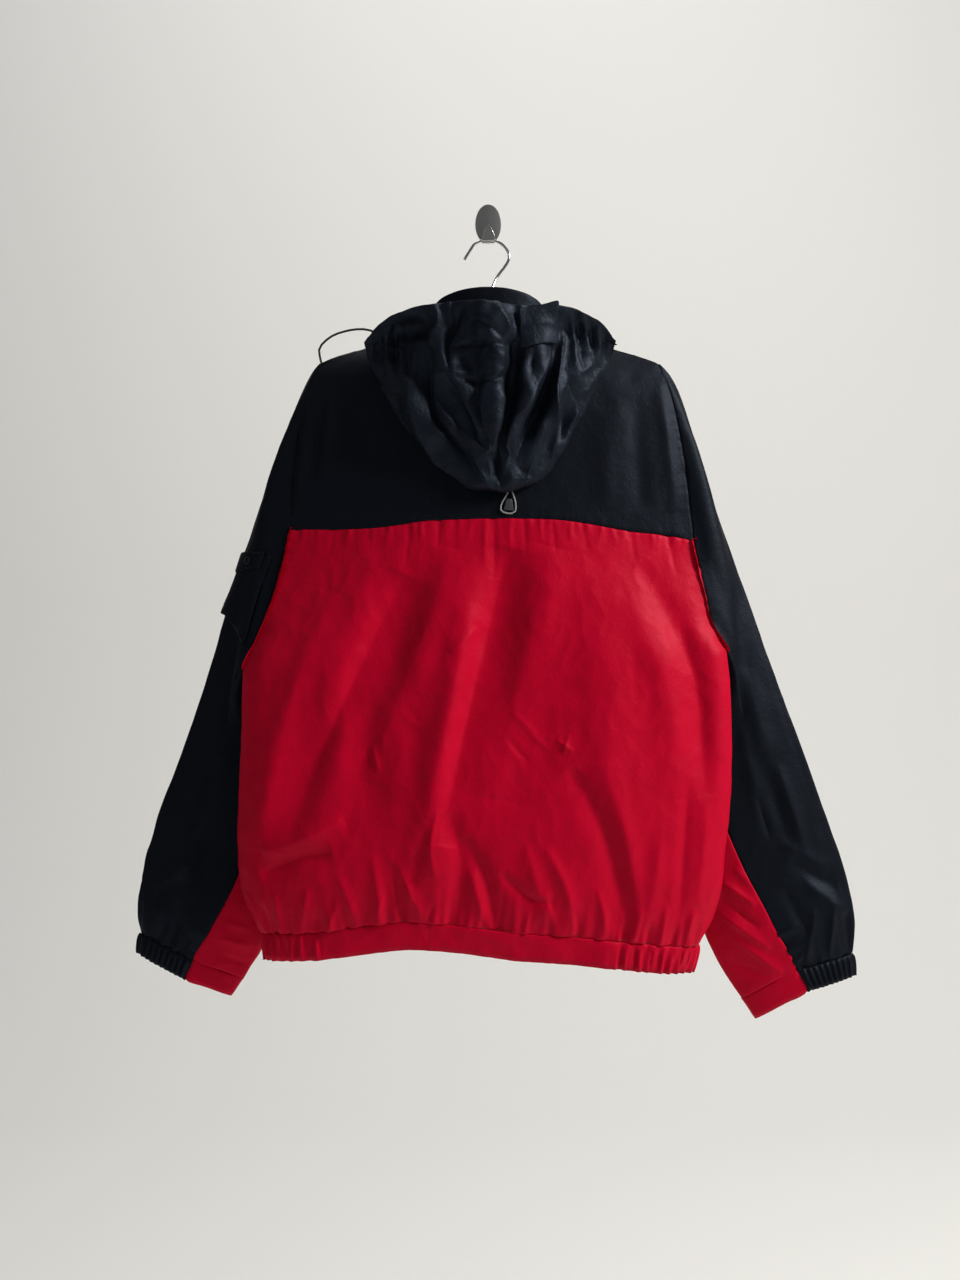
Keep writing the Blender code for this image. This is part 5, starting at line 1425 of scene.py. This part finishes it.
@dataclass
class ElasticBands:
    """The gathered hem and cuffs, whose ribs come from the elastic inside.

    Attributes:
        pieces: its pieces by node, once they are built.
        rib_top: height of the ribs' tops at the left end, in millimetres.
        rib_foot: height of their feet there.
        left: the band's left end, in millimetres.
        slope: how much the band falls towards the right.
        hem_join: the stitched join of the band.
    """

    pieces: dict[str, ClothPiece] = field(default_factory=dict)
    rib_top: float = -778
    rib_foot: float = -812
    left: float = -245
    slope: float = 0.06
    hem_join: Line = ((-61.5, -775), (-62.5, -790), (-62, -806))
    # Creases between the ribs of the gathered sides: x, lean and depth
    rib_creases: Rows = (
        (-242, 1, 2.0), (-234, 2, 1.4), (-225, 0, 2.3), (-217, 2, 1.6), (-207, -1, 2.2), (-200, 1, 1.5),
        (-190, 1, 2.0), (-183, 2, 1.2), (134, -2, 1.4), (142, -1, 2.0), (151, -3, 1.6), (158, -1, 2.2),
        (167, -2, 1.7), (176, -3, 2.3), (184, -1, 1.6), (193, -3, 2.2), (201, -2, 1.8), (210, -3, 2.2),
        (218, -3, 1.6),
    )
    # Slight creases of the band's plain middle: x, z to x, z, half width, height, crest
    hem_creases: Rows = (
        (-150, -784, -128, -808, 4, -1.0, 1.5), (-112, -780, -98, -802, 4, 1.0, 1.5),
        (-40, -778, -30, -802, 4, -1.1, 1.5), (-8, -782, 22, -800, 5, 1.2, 1.5),
        (30, -786, 44, -810, 4, -1.1, 1.5), (66, -788, 84, -814, 4, 1.2, 1.5),
        (98, -794, 112, -818, 4, -1.0, 1.5),
    )
    cuff_seams: Sequence[tuple[str, Line]] = (
        ("right", ((287, -870), (300, -866), (318, -856), (334, -846))),
        ("left", ((-289, -838), (-300, -834), (-312, -829), (-322, -826))),
    )

    def build(self) -> None:
        """Makes the hem band and both halves of each cuff."""
        join = Fold(self.hem_join, 1.6, -1.4, 1.4)
        ribs = []
        for x, lean, depth in self.rib_creases:
            fall = self.slope * (x - self.left)
            ribs.append(Fold(((x, self.rib_top - fall), (x + lean, self.rib_foot - fall)), 1.8,
                             -1.5 * depth, 1.3))
        plans = [ClothPiece("hem_band", RED_NYLON, (1.0, 0.042, 0.038), tube=Tube(("hem_band",), 4),
                            held="gathered", folds=[join, *ribs, *folds_from(self.hem_creases)],
                            puckers=(Pucker(0.9, 6, 12),), sag=0.4, rumple=0.5, ribbed=True, level=2)]
        cuts = {"outer_left": (0.15, 0.04, 0.0046), "outer_right": (0.16, 0.04, 0.0051),
                "under_left": (0.11, 0.035, 0.0026), "under_right": (0.13, 0.036, 0.0033)}
        for name, cut in cuts.items():
            red = name.startswith("under")
            side = name.split("_")[1]
            tube = Tube((f"cuff_outer_{side}", f"cuff_under_{side}"), 4)
            plans.append(ClothPiece("cuff_" + name, RED_NYLON if red else BLACK_NYLON, cut, tube=tube,
                                    held="gathered", sag=0.2, rumple=0.2,
                                    puckers=(Pucker(0.3 if red else 0.5, 5, 8),), ribbed=True,
                                    level=2))
        self.pieces = build_all(plans)
        for side, line in self.cuff_seams:
            StitchLine(f"cuff_stitches_{side}", line, self.pieces[f"cuff_under_{side}"], RED_THREAD).build()
        StitchLine("hem_join_stitches", self.hem_join, self.pieces["hem_band"], RED_THREAD).build()


# hood


@dataclass
class Hood:
    """The light hood that hangs down the back as an open puffed bag, with a flap by its rim."""

    # Long folds that run down to the hood's lowest point: places, half width, height, crest
    long_folds: CurvedRows = (
        (((28, -150), (27, -184), (22, -219), (14, -251), (9, -278), (13, -306)), 4.8, -15.0, 1.1),
        (((16, -196), (15, -224), (9, -256), (5, -276)), 8, 6.0, 1.1),
        (((-4, -190), (-3, -216), (-1, -242), (1, -272)), 10, 9.5, 1.7),
        (((-50, -186), (-38, -212), (-21, -240), (-3, -268)), 7.5, -14.0, 1.1),
        (((-60, -176), (-57, -215), (-41, -236), (-22, -254), (-1, -273)), 5.5, 9.0, 1.0),
        (((-67, -150), (-65, -192), (-56, -232), (-34, -262), (-10, -292)), 6.0, -14.0, 1.1),
        (((-88, -184), (-82, -220), (-64, -258), (-44, -290), (-28, -304)), 8.5, 10.0, 1.1),
        (((-104, -200), (-96, -236), (-76, -272), (-54, -298)), 7, -7.0, 1.4),
        (((-28, -116), (-40, -141), (-45, -165), (-43, -186)), 7, -13.0, 1.1),
        (((-57, -112), (-54, -130), (-60, -146), (-66, -158)), 5.5, 8.5, 1.0),
        (((6, -112), (16, -132), (26, -154)), 5.5, 8.0, 1.0),
        (((-42, -160), (-23, -156), (-3, -157), (22, -158)), 2.8, -6.5, 1.1),
        (((-20, -134), (-8, -133), (14, -149)), 3.0, -5.0, 1.1),
        (((-38, -190), (-20, -194), (1, -196), (17, -191), (24, -180)), 3.2, -7.5, 1.1),
        (((-2, -158), (3, -170), (16, -183)), 3.2, -4.0, 1.2),
        (((70, -160), (54, -190), (40, -219), (26, -248), (15, -292)), 6.0, 10.0, 1.0),
        (((74, -150), (68, -184), (56, -216), (43, -246), (28, -278)), 6.0, -14.0, 1.1),
        (((80, -130), (77, -171), (73, -208), (69, -251), (65, -290)), 3.2, 9.0, 1.0),
        (((88, -186), (85, -219), (78, -255)), 6, -7.0, 1.3),
        (((100, -212), (88, -240), (74, -272)), 5, 5.0, 1.1),
        (((-80, -258), (-58, -284), (-36, -304)), 5.5, -6.0, 1.3),
        (((-20, -268), (-10, -288), (2, -304)), 5, 4.5, 1.1),
        (((24, -272), (34, -286), (48, -294)), 4.5, -4.0, 1.3),
        (((-28, -303), (-7, -303), (9, -309)), 5, 3.4, 1.3),
        (((17, -299), (39, -297), (63, -283)), 5, 3.6, 1.2),
        (((31, -118), (31, -138)), 4.0, -2.0, 1.6),
        (((38, -170), (37, -186), (40, -198)), 3.6, 3.0, 1.3),
        (((40, -122), (54, -136), (68, -134)), 4.0, -3.0, 1.4),
    )
    # Puffs between the folds and hollows beside them
    swellings: Sequence[Dimple] = (
        Dimple(0, -132, 15, 13, 7.0),
        Dimple(8, -170, 13, 10, 6.0),
        Dimple(-26, -173, 11, 10, -5.5),
        Dimple(-84, -136, 17, 9, -10.0),
        Dimple(-68, -146, 6, 16, -4.0),
        Dimple(48, -176, 6, 12, -8.0),
        Dimple(-104, -190, 12, 22, 3.0),
        Dimple(104, -196, 12, 22, 3.0),
    )
    # Gathers of both ends of the rim: x, z to x, z, half width, height, crest
    rim_gathers: Rows = (
        (-128, -142, -120, -188, 3.4, 4.2, 1.3), (-120, -134, -112, -190, 3.2, -3.9, 1.3),
        (-112, -130, -106, -182, 3.4, 4.2, 1.3), (-104, -126, -98, -196, 3.0, -3.9, 1.3),
        (-96, -124, -94, -176, 3.2, 3.9, 1.3), (-88, -140, -86, -190, 3.0, -3.6, 1.3),
        (-110, -150, -90, -160, 3.0, 2.7, 1.3), (-118, -168, -98, -174, 3.0, 2.7, 1.3),
        (88, -120, 94, -176, 3.2, 4.2, 1.3), (95, -122, 104, -190, 3.0, -4.2, 1.3),
        (102, -122, 112, -176, 3.2, 4.2, 1.3), (110, -126, 116, -188, 3.0, -3.9, 1.3),
        (118, -130, 120, -172, 3.2, 3.9, 1.3), (126, -136, 128, -168, 3.0, -3.3, 1.3),
        (90, -150, 108, -162, 3.0, 2.7, 1.3), (98, -184, 112, -170, 3.0, 2.7, 1.3),
        (100, -206, 116, -182, 3.4, 2.7, 1.3),
    )
    # The seam of the hood's side panel
    side_seam: Line = ((81, -178), (91, -202), (100, -226))

    def build(self) -> None:
        """Makes the hood, its flap and the stitched seams of its side panel."""
        folds = [Fold(*row) for row in self.long_folds]
        folds += folds_from(self.rim_gathers) + list(self.swellings)
        folds.append(Fold(self.side_seam, 1.6, -1.2, 1.5))
        hood = ClothPiece("hood", HOOD_NYLON, (0.30, 0.42, 0.080), core=-0.078, folds=folds,
                          puckers=(Pucker(2.2, 9, 18, low=-215),), sag=1.4, rumple=0.8, crease=1.2,
                          held="gathered", on=("back_yoke_cloth",), groove=0.2, laid=True)
        flap = ClothPiece("hood_tab", HOOD_NYLON, (0.046, 0.05, 0.0019), core=1.0, sag=0.6, rumple=0.3,
                          on=("hood_cloth",), groove=0.3, laid=True,
                          folds=[Fold(((36, -140), (56, -132), (72, -134)), 5, 1.6, 1.6)])
        build_all((hood, flap))
        StitchLine("hood_side_topstitch", self.side_seam, hood, BLACK_THREAD).build()


# pocket


@dataclass
class SleevePocket:
    """The patch pocket on the left sleeve, with its flap and snap."""

    core: float = -0.024
    swelling: Dimple = Dimple(-272, -430, 12, 20, 1.6)

    def build(self) -> None:
        """Makes the pocket, the flap and the snap's cap."""
        build_all((
            ClothPiece("sleeve_pocket", BLACK_NYLON, (0.075, 0.095, 0.0062), core=self.core, rumple=0.3,
                       on=("sleeve_outer_left_cloth",), puckers=(Pucker(0.6, 8, 8),), laid=True,
                       folds=[self.swelling]),
            ClothPiece("pocket_flap", BLACK_NYLON, (0.056, 0.025, 0.0013), core=self.core, sag=0.4,
                       rumple=0.2, on=("sleeve_pocket_cloth",), laid=True),
        ))
        HardPiece("pocket_snap", SNAP_METAL, 0.25 * MM).build()


# hard pieces and cords


@dataclass
class HardPiece:
    """A metal or moulded piece: its node with softened edges.

    Attributes:
        node: the part's node.
        finish: its finish.
        edge: radius of the softened edges, in metres.
        body: the body it moves with.
        flat: faces that turn less than this are made one, in degrees.
        sharp: edges that turn more than this are softened, in degrees.
        shaded: edges that turn more than this stay sharp to the eye, in degrees.
    """

    node: str
    finish: Finish
    edge: float
    body: Body = Body.JACKET
    flat: float = 1
    sharp: float = 35
    shaded: float = 40

    def build(self) -> bpy.types.Object:
        """Makes and places the piece.

        Returns:
            The piece's object.
        """
        source = node_mesh(self.node)
        bmesh.ops.dissolve_limit(source, angle_limit=math.radians(self.flat), verts=source.verts,
                                 edges=source.edges)
        mesh = evaluated_mesh(as_mesh(source, self.node), [
            ("BEVEL", {"width": self.edge, "segments": 3, "limit_method": "ANGLE",
                       "angle_limit": math.radians(self.sharp)})])
        smooth_faces(mesh)
        mesh.set_sharp_from_angle(angle=math.radians(self.shaded))
        return place_piece(self.node + "_piece", mesh, self.finish, (self.node,), self.body)


def round_tube(name: str, points: Sequence[Sequence[float]], radius: float,
               resolution: int = 6) -> bpy.types.Curve:
    """A round tube along a line of points.

    Args:
        name: its name.
        points: the line, in metres.
        radius: the tube's radius.
        resolution: how round it is.

    Returns:
        The curve.
    """
    curve = bpy.data.curves.new(name, "CURVE")
    curve.dimensions = "3D"
    curve.bevel_depth = radius
    curve.bevel_resolution = resolution
    curve.use_fill_caps = True
    line = curve.splines.new("POLY")
    line.points.add(len(points) - 1)
    for spot, point in zip(line.points, points):
        spot.co = (*point, 1.0)
    line.use_smooth = True
    return curve


@dataclass
class Cords:
    """The hood's drawcord that loops over the shoulder, and the pull loop below the hood."""

    hood_radius: float = 1.25 * MM
    loop_radius: float = 0.9 * MM
    # The routes as x, y and z in metres, from the end that the cord comes out at
    hood_route: Rows = (
        (-0.1170, -0.0590, -0.1370), (-0.1237, -0.0577, -0.1338), (-0.1304, -0.0564, -0.1310),
        (-0.1374, -0.0547, -0.1295), (-0.1446, -0.0526, -0.1292), (-0.1519, -0.0505, -0.1297),
        (-0.1589, -0.0485, -0.1309), (-0.1660, -0.0466, -0.1326), (-0.1728, -0.0446, -0.1352),
        (-0.1788, -0.0423, -0.1388), (-0.1845, -0.0399, -0.1437), (-0.1878, -0.0362, -0.1488),
        (-0.1878, -0.0306, -0.1538), (-0.1871, -0.0248, -0.1586), (-0.1860, -0.0191, -0.1633),
        (-0.1843, -0.0144, -0.1689), (-0.1819, -0.0115, -0.1752), (-0.1786, -0.0135, -0.1816),
        (-0.1738, -0.0155, -0.1868), (-0.1672, -0.0148, -0.1902), (-0.1600, -0.0141, -0.1922),
        (-0.1525, -0.0139, -0.1925), (-0.1450, -0.0137, -0.1919), (-0.1376, -0.0137, -0.1909),
        (-0.1304, -0.0137, -0.1893), (-0.1231, -0.0137, -0.1873), (-0.1160, -0.0138, -0.1852),
        (-0.1089, -0.0138, -0.1829), (-0.1019, -0.0139, -0.1803), (-0.0951, -0.0141, -0.1773),
        (-0.0886, -0.0143, -0.1738), (-0.0823, -0.0147, -0.1698), (-0.0760, -0.0150, -0.1658),
    )
    loop_route: Rows = (
        (0.0215, -0.0771, -0.3095), (0.0194, -0.0775, -0.3134), (0.0173, -0.0778, -0.3173),
        (0.0149, -0.0782, -0.3212), (0.0133, -0.0786, -0.3253), (0.0131, -0.0790, -0.3299),
        (0.0163, -0.0792, -0.3325), (0.0207, -0.0792, -0.3337), (0.0252, -0.0792, -0.3336),
        (0.0289, -0.0789, -0.3311), (0.0294, -0.0785, -0.3268), (0.0291, -0.0781, -0.3223),
        (0.0281, -0.0777, -0.3180), (0.0269, -0.0774, -0.3137), (0.0255, -0.0771, -0.3095),
    )

    def build(self) -> None:
        """Makes both cords and the rubber grip that the loop holds."""
        curve = round_tube("hood_drawcord", self.hood_route, self.hood_radius)
        drawcord = place_piece("hood_drawcord", curve, BLACK_CORD, ("hood_cord",))
        grip = HardPiece("pull_grip", GRIP_RUBBER, 0.5 * MM).build()
        curve = round_tube("hood_pull_loop", self.loop_route, self.loop_radius)
        loop = place_piece("hood_pull_loop", curve, PALE_CORD, ("pull_loop",))


@dataclass
class ZipFront:
    """The zip up the front: its strip of cloth, two rows of teeth, slider and pull tab.

    Attributes:
        tooth_pitch: spacing of the teeth, in metres.
        tooth_width: width of a tooth across the zip.
        tooth_height: how far it stands out.
        tooth_gap: gap between it and the next tooth.
        tooth_offset: its middle's distance from the zip's middle, as a share of its width.
        tooth_sections: its cross-sections as shares of its height and width.
        first_tooth: pitches from the strip's lower end to the first tooth.
        left_out: pitches of the strip that have no tooth.
    """

    tooth_pitch: float = 2.6 * MM
    tooth_width: float = 2.6 * MM
    tooth_height: float = 1.3 * MM
    tooth_gap: float = 0.5 * MM
    tooth_offset: float = 0.42
    tooth_sections: Line = ((-0.2, 1.0), (0.7, 1.0), (1.0, 0.6))
    first_tooth: int = 2
    left_out: int = 3

    def build(self) -> None:
        """Makes the strip, the teeth and the metal pieces."""
        strip = ClothPiece("front_zip", BLACK_NYLON, (0.012, 0.72, 0.0056), level=2, sag=0.2, rumple=0.1,
                           groove=0.2)
        strip.build()
        mesh = bmesh.new()
        top, bottom = float(strip.rim[:, 2].max()), float(strip.rim[:, 2].min())
        for i in range(int((top - bottom) / self.tooth_pitch) - self.left_out):
            z = bottom + (i + self.first_tooth) * self.tooth_pitch
            found = at_depth(strip, 0.0, z, Side.FRONT)
            if found is None:
                continue
            hit, facing = found
            side = 1 if i % 2 else -1
            self.add_tooth(mesh, hit + Vector((side * self.tooth_width * self.tooth_offset, 0, 0)), facing)
        place_piece("zip_teeth", as_mesh(mesh, "zip_teeth"), ZIP_PLASTIC)
        HardPiece("zip_slider", BRIGHT_WIRE, 0.3 * MM).build()
        HardPiece("zip_bridge", BRIGHT_WIRE, 0.2 * MM).build()
        HardPiece("zip_pull", BRIGHT_WIRE, 0.25 * MM, Body.ZIP_PULL).build()

    def add_tooth(self, mesh: bmesh.types.BMesh, foot: Vector, facing: Vector) -> None:
        """Adds a moulded tooth with a narrower top.

        Args:
            mesh: the mesh it joins.
            foot: the middle of its foot on the strip.
            facing: the strip's outward normal.
        """
        up = Vector((1, 0, 0)).cross(facing).normalized()
        rings = []
        for level, size in self.tooth_sections:
            middle = foot + facing * self.tooth_height * level
            wide = self.tooth_width / 2 * size
            tall = (self.tooth_pitch - self.tooth_gap) / 2 * size
            rings.append([mesh.verts.new(middle + Vector((sx * wide, 0, 0)) + up * sz * tall)
                          for sx, sz in ((-1, -1), (1, -1), (1, 1), (-1, 1))])
        join_rings(mesh, rings)
        mesh.faces.new(rings[-1])
        mesh.faces.new(list(reversed(rings[0])))


@dataclass
class Hanger:
    """The hanger: moulded arms in the shoulders and a bent wire hook."""

    wire_radius: float = 1.6 * MM
    # The hook's foot and route as x, y and z in millimetres
    foot: tuple[float, float, float] = (0.0, -30.3, -113.8)
    route: Rows = ((-27, -8, -42), (-25, -8, -38.5), (-20, -7.6, -30.5), (-15.5, -7, -24.2),
                   (-8, -6.5, -20.4), (0, -6.5, -19.4), (8.5, -6.5, -20.4), (15.5, -6.6, -24.2),
                   (21, -7, -30.5), (23.3, -7.6, -36.5), (22.6, -8.4, -43), (18, -10, -51),
                   (11, -13, -61), (5, -17.5, -74), (1.2, -22, -90), (0, -26.5, -104))

    def build(self) -> None:
        """Makes the arms and the hook."""
        points = smooth_line((*self.route, self.foot)) * MM
        wire = bpy.data.objects.new("wire", round_tube("wire", points.tolist(), self.wire_radius, 5))
        place_piece("hanger_hook_wire", bpy.data.meshes.new_from_object(wire), BRIGHT_WIRE,
                    ("hanger_hook",))
        bpy.data.objects.remove(wire)
        HardPiece("hanger_arms", HANGER_PLASTIC, 0.4 * MM).build()


@dataclass
class WallHook:
    """The stick-on wall hook: a brushed oval plate with a bright tongue bent up from it."""

    def build(self) -> None:
        """Makes the plate and the tongue."""
        HardPiece("wall_plate", SATIN_STEEL, 0.3 * MM).build()
        HardPiece("wall_tongue", BRIGHT_LIP, 0.2 * MM).build()


# studio


@dataclass(frozen=True)
class SoftLight:
    """A soft square light.

    Attributes:
        name: its name.
        place: where it stands, in metres.
        aim: the place it points to, in metres.
        size: its side, in metres.
        power: in watts.
        colour: as an sRGB hex value.
    """

    name: str
    place: tuple[float, float, float]
    aim: tuple[float, float, float]
    size: float
    power: float
    colour: str = "#FFFFFF"

    def build(self) -> None:
        """Adds the light to the scene."""
        data = bpy.data.lights.new(self.name, "AREA")
        data.size, data.energy, data.color = self.size, self.power, linear(self.colour)[:3]
        made = bpy.data.objects.new(self.name, data)
        made.location = self.place
        made.rotation_euler = (Vector(self.aim) - Vector(self.place)).to_track_quat("-Z", "Y").to_euler()
        bpy.context.scene.collection.objects.link(made)


@dataclass
class Studio:
    """The camera of the photograph, a plain pale sweep behind and below, and soft light.

    Attributes:
        eye: the camera's place, in metres.
        focal_pixels: its focal length in pixels of the photograph.
        picture_height: the photograph's height in pixels.
        sensor: the sensor's longer side, in millimetres.
        near: nearest depth that the camera shows, in metres.
        far: farthest depth that it shows, in metres.
        floor_height: height of the floor, in metres.
        sweep_front: where the floor begins, in metres.
        sweep_depth: depth of the backdrop, in metres.
        sweep_top: its upper edge, in metres.
        sweep_radius: radius between floor and backdrop, in metres.
        sweep_half_width: half the width of both, in metres.
        sweep_steps: steps of the curve between them.
        plaster: colour of floor and backdrop.
        room_shade: colour of the light from the rest of the room.
        room_strength: its strength.
        room_seen: colour seen past the backdrop's edges.
        lights: the lights.
    """

    eye: tuple[float, float, float] = (-0.0093, -1.75, -0.4706)
    focal_pixels: float = 1545.0
    picture_height: int = 1280
    sensor: float = 36.0
    near: float = 0.05
    far: float = 60.0
    floor_height: float = -1.62
    sweep_front: float = -3.4
    sweep_depth: float = 3.2
    sweep_top: float = 4.5
    sweep_radius: float = 1.3
    sweep_half_width: float = 5.0
    sweep_steps: int = 16
    plaster: str = "#F2F1EE"
    room_shade: str = "#E4E5E6"
    room_strength: float = 0.15
    room_seen: str = "#D6D6D3"
    lights: Sequence[SoftLight] = (
        SoftLight("window", (2.7, -1.1, 1.35), (0.0, -0.05, -0.5), 1.0, 134, "#FFFDF8"),
        SoftLight("room", (-2.4, -2.6, 0.9), (0.0, -0.05, -0.5), 2.4, 8, "#F4F7FF"),
        SoftLight("backdrop", (0.0, 0.9, 3.2), (0.0, 3.2, -0.9), 2.4, 52),
    )

    def camera(self) -> None:
        """Sets the camera level with the middle of the jacket."""
        data = bpy.data.cameras.new("photo_camera")
        data.sensor_width = self.sensor
        data.lens = self.sensor * self.focal_pixels / self.picture_height
        data.clip_start, data.clip_end = self.near, self.far
        made = bpy.data.objects.new("photo_camera", data)
        made.location = self.eye
        made.rotation_euler = (math.radians(90), 0, 0)
        bpy.context.scene.collection.objects.link(made)
        bpy.context.scene.camera = made

    def sweep(self) -> None:
        """Makes the pale floor that curves up into a backdrop."""
        profile = [(self.sweep_front, self.floor_height)]
        middle = (self.sweep_depth - self.sweep_radius, self.floor_height + self.sweep_radius)
        for k in range(self.sweep_steps + 1):
            turn = math.radians(90 * k / self.sweep_steps)
            profile.append((middle[0] + self.sweep_radius * math.sin(turn),
                            middle[1] - self.sweep_radius * math.cos(turn)))
        profile.append((self.sweep_depth, self.sweep_top))
        mesh = bmesh.new()
        left = [mesh.verts.new((-self.sweep_half_width, y, z)) for y, z in profile]
        right = [mesh.verts.new((self.sweep_half_width, y, z)) for y, z in profile]
        for k in range(len(profile) - 1):
            mesh.faces.new((left[k], right[k], right[k + 1], left[k + 1])).smooth = True
        data = as_mesh(mesh, "pale_sweep")
        made, tree, shader = new_material("painted_pale_plaster")
        grain = add_node(tree, "ShaderNodeTexNoise", {}, {"Scale": 90.0, "Detail": 3.0})
        bump = add_node(tree, "ShaderNodeBump", {},
                        {"Height": grain.outputs["Fac"], "Strength": 0.08, "Distance": 0.5 * MM})
        feed(tree, shader, {"Base Color": linear(self.plaster), "Normal": bump.outputs["Normal"],
                            "Roughness": 0.9})
        data.materials.append(made)
        floor = bpy.data.objects.new("pale_sweep", data)
        bpy.context.scene.collection.objects.link(floor)

    def build(self) -> None:
        """Sets the backdrop and the lights."""
        self.sweep()
        for light in self.lights:
            light.build()
        world = bpy.data.worlds.new("pale_room")
        world.use_nodes = True
        tree = world.node_tree
        shade = tree.nodes["Background"]
        feed(tree, shade, {"Color": linear(self.room_shade), "Strength": self.room_strength})
        seen = add_node(tree, "ShaderNodeBackground", {}, {"Color": linear(self.room_seen), "Strength": 1.0})
        rays = add_node(tree, "ShaderNodeLightPath")
        mixed = add_node(tree, "ShaderNodeMixShader", {},
                         {0: rays.outputs["Is Camera Ray"], 1: shade.outputs[0], 2: seen.outputs[0]})
        feed(tree, tree.nodes["World Output"], {"Surface": mixed.outputs[0]})
        bpy.context.scene.world = world
        bpy.context.scene.view_settings.view_transform = "Standard"


def main() -> None:
    logging.basicConfig(level=logging.INFO, format="%(name)s %(message)s")
    studio = Studio()
    studio.camera()
    for assembly in (Cords(), BodyShell(), Sleeves(), ElasticBands(), Hood(), SleevePocket(), ZipFront(),
                     Hanger(), WallHook(), studio):
        log.info("building %s", type(assembly).__name__)
        assembly.build()


if __name__ == "__main__":
    main()
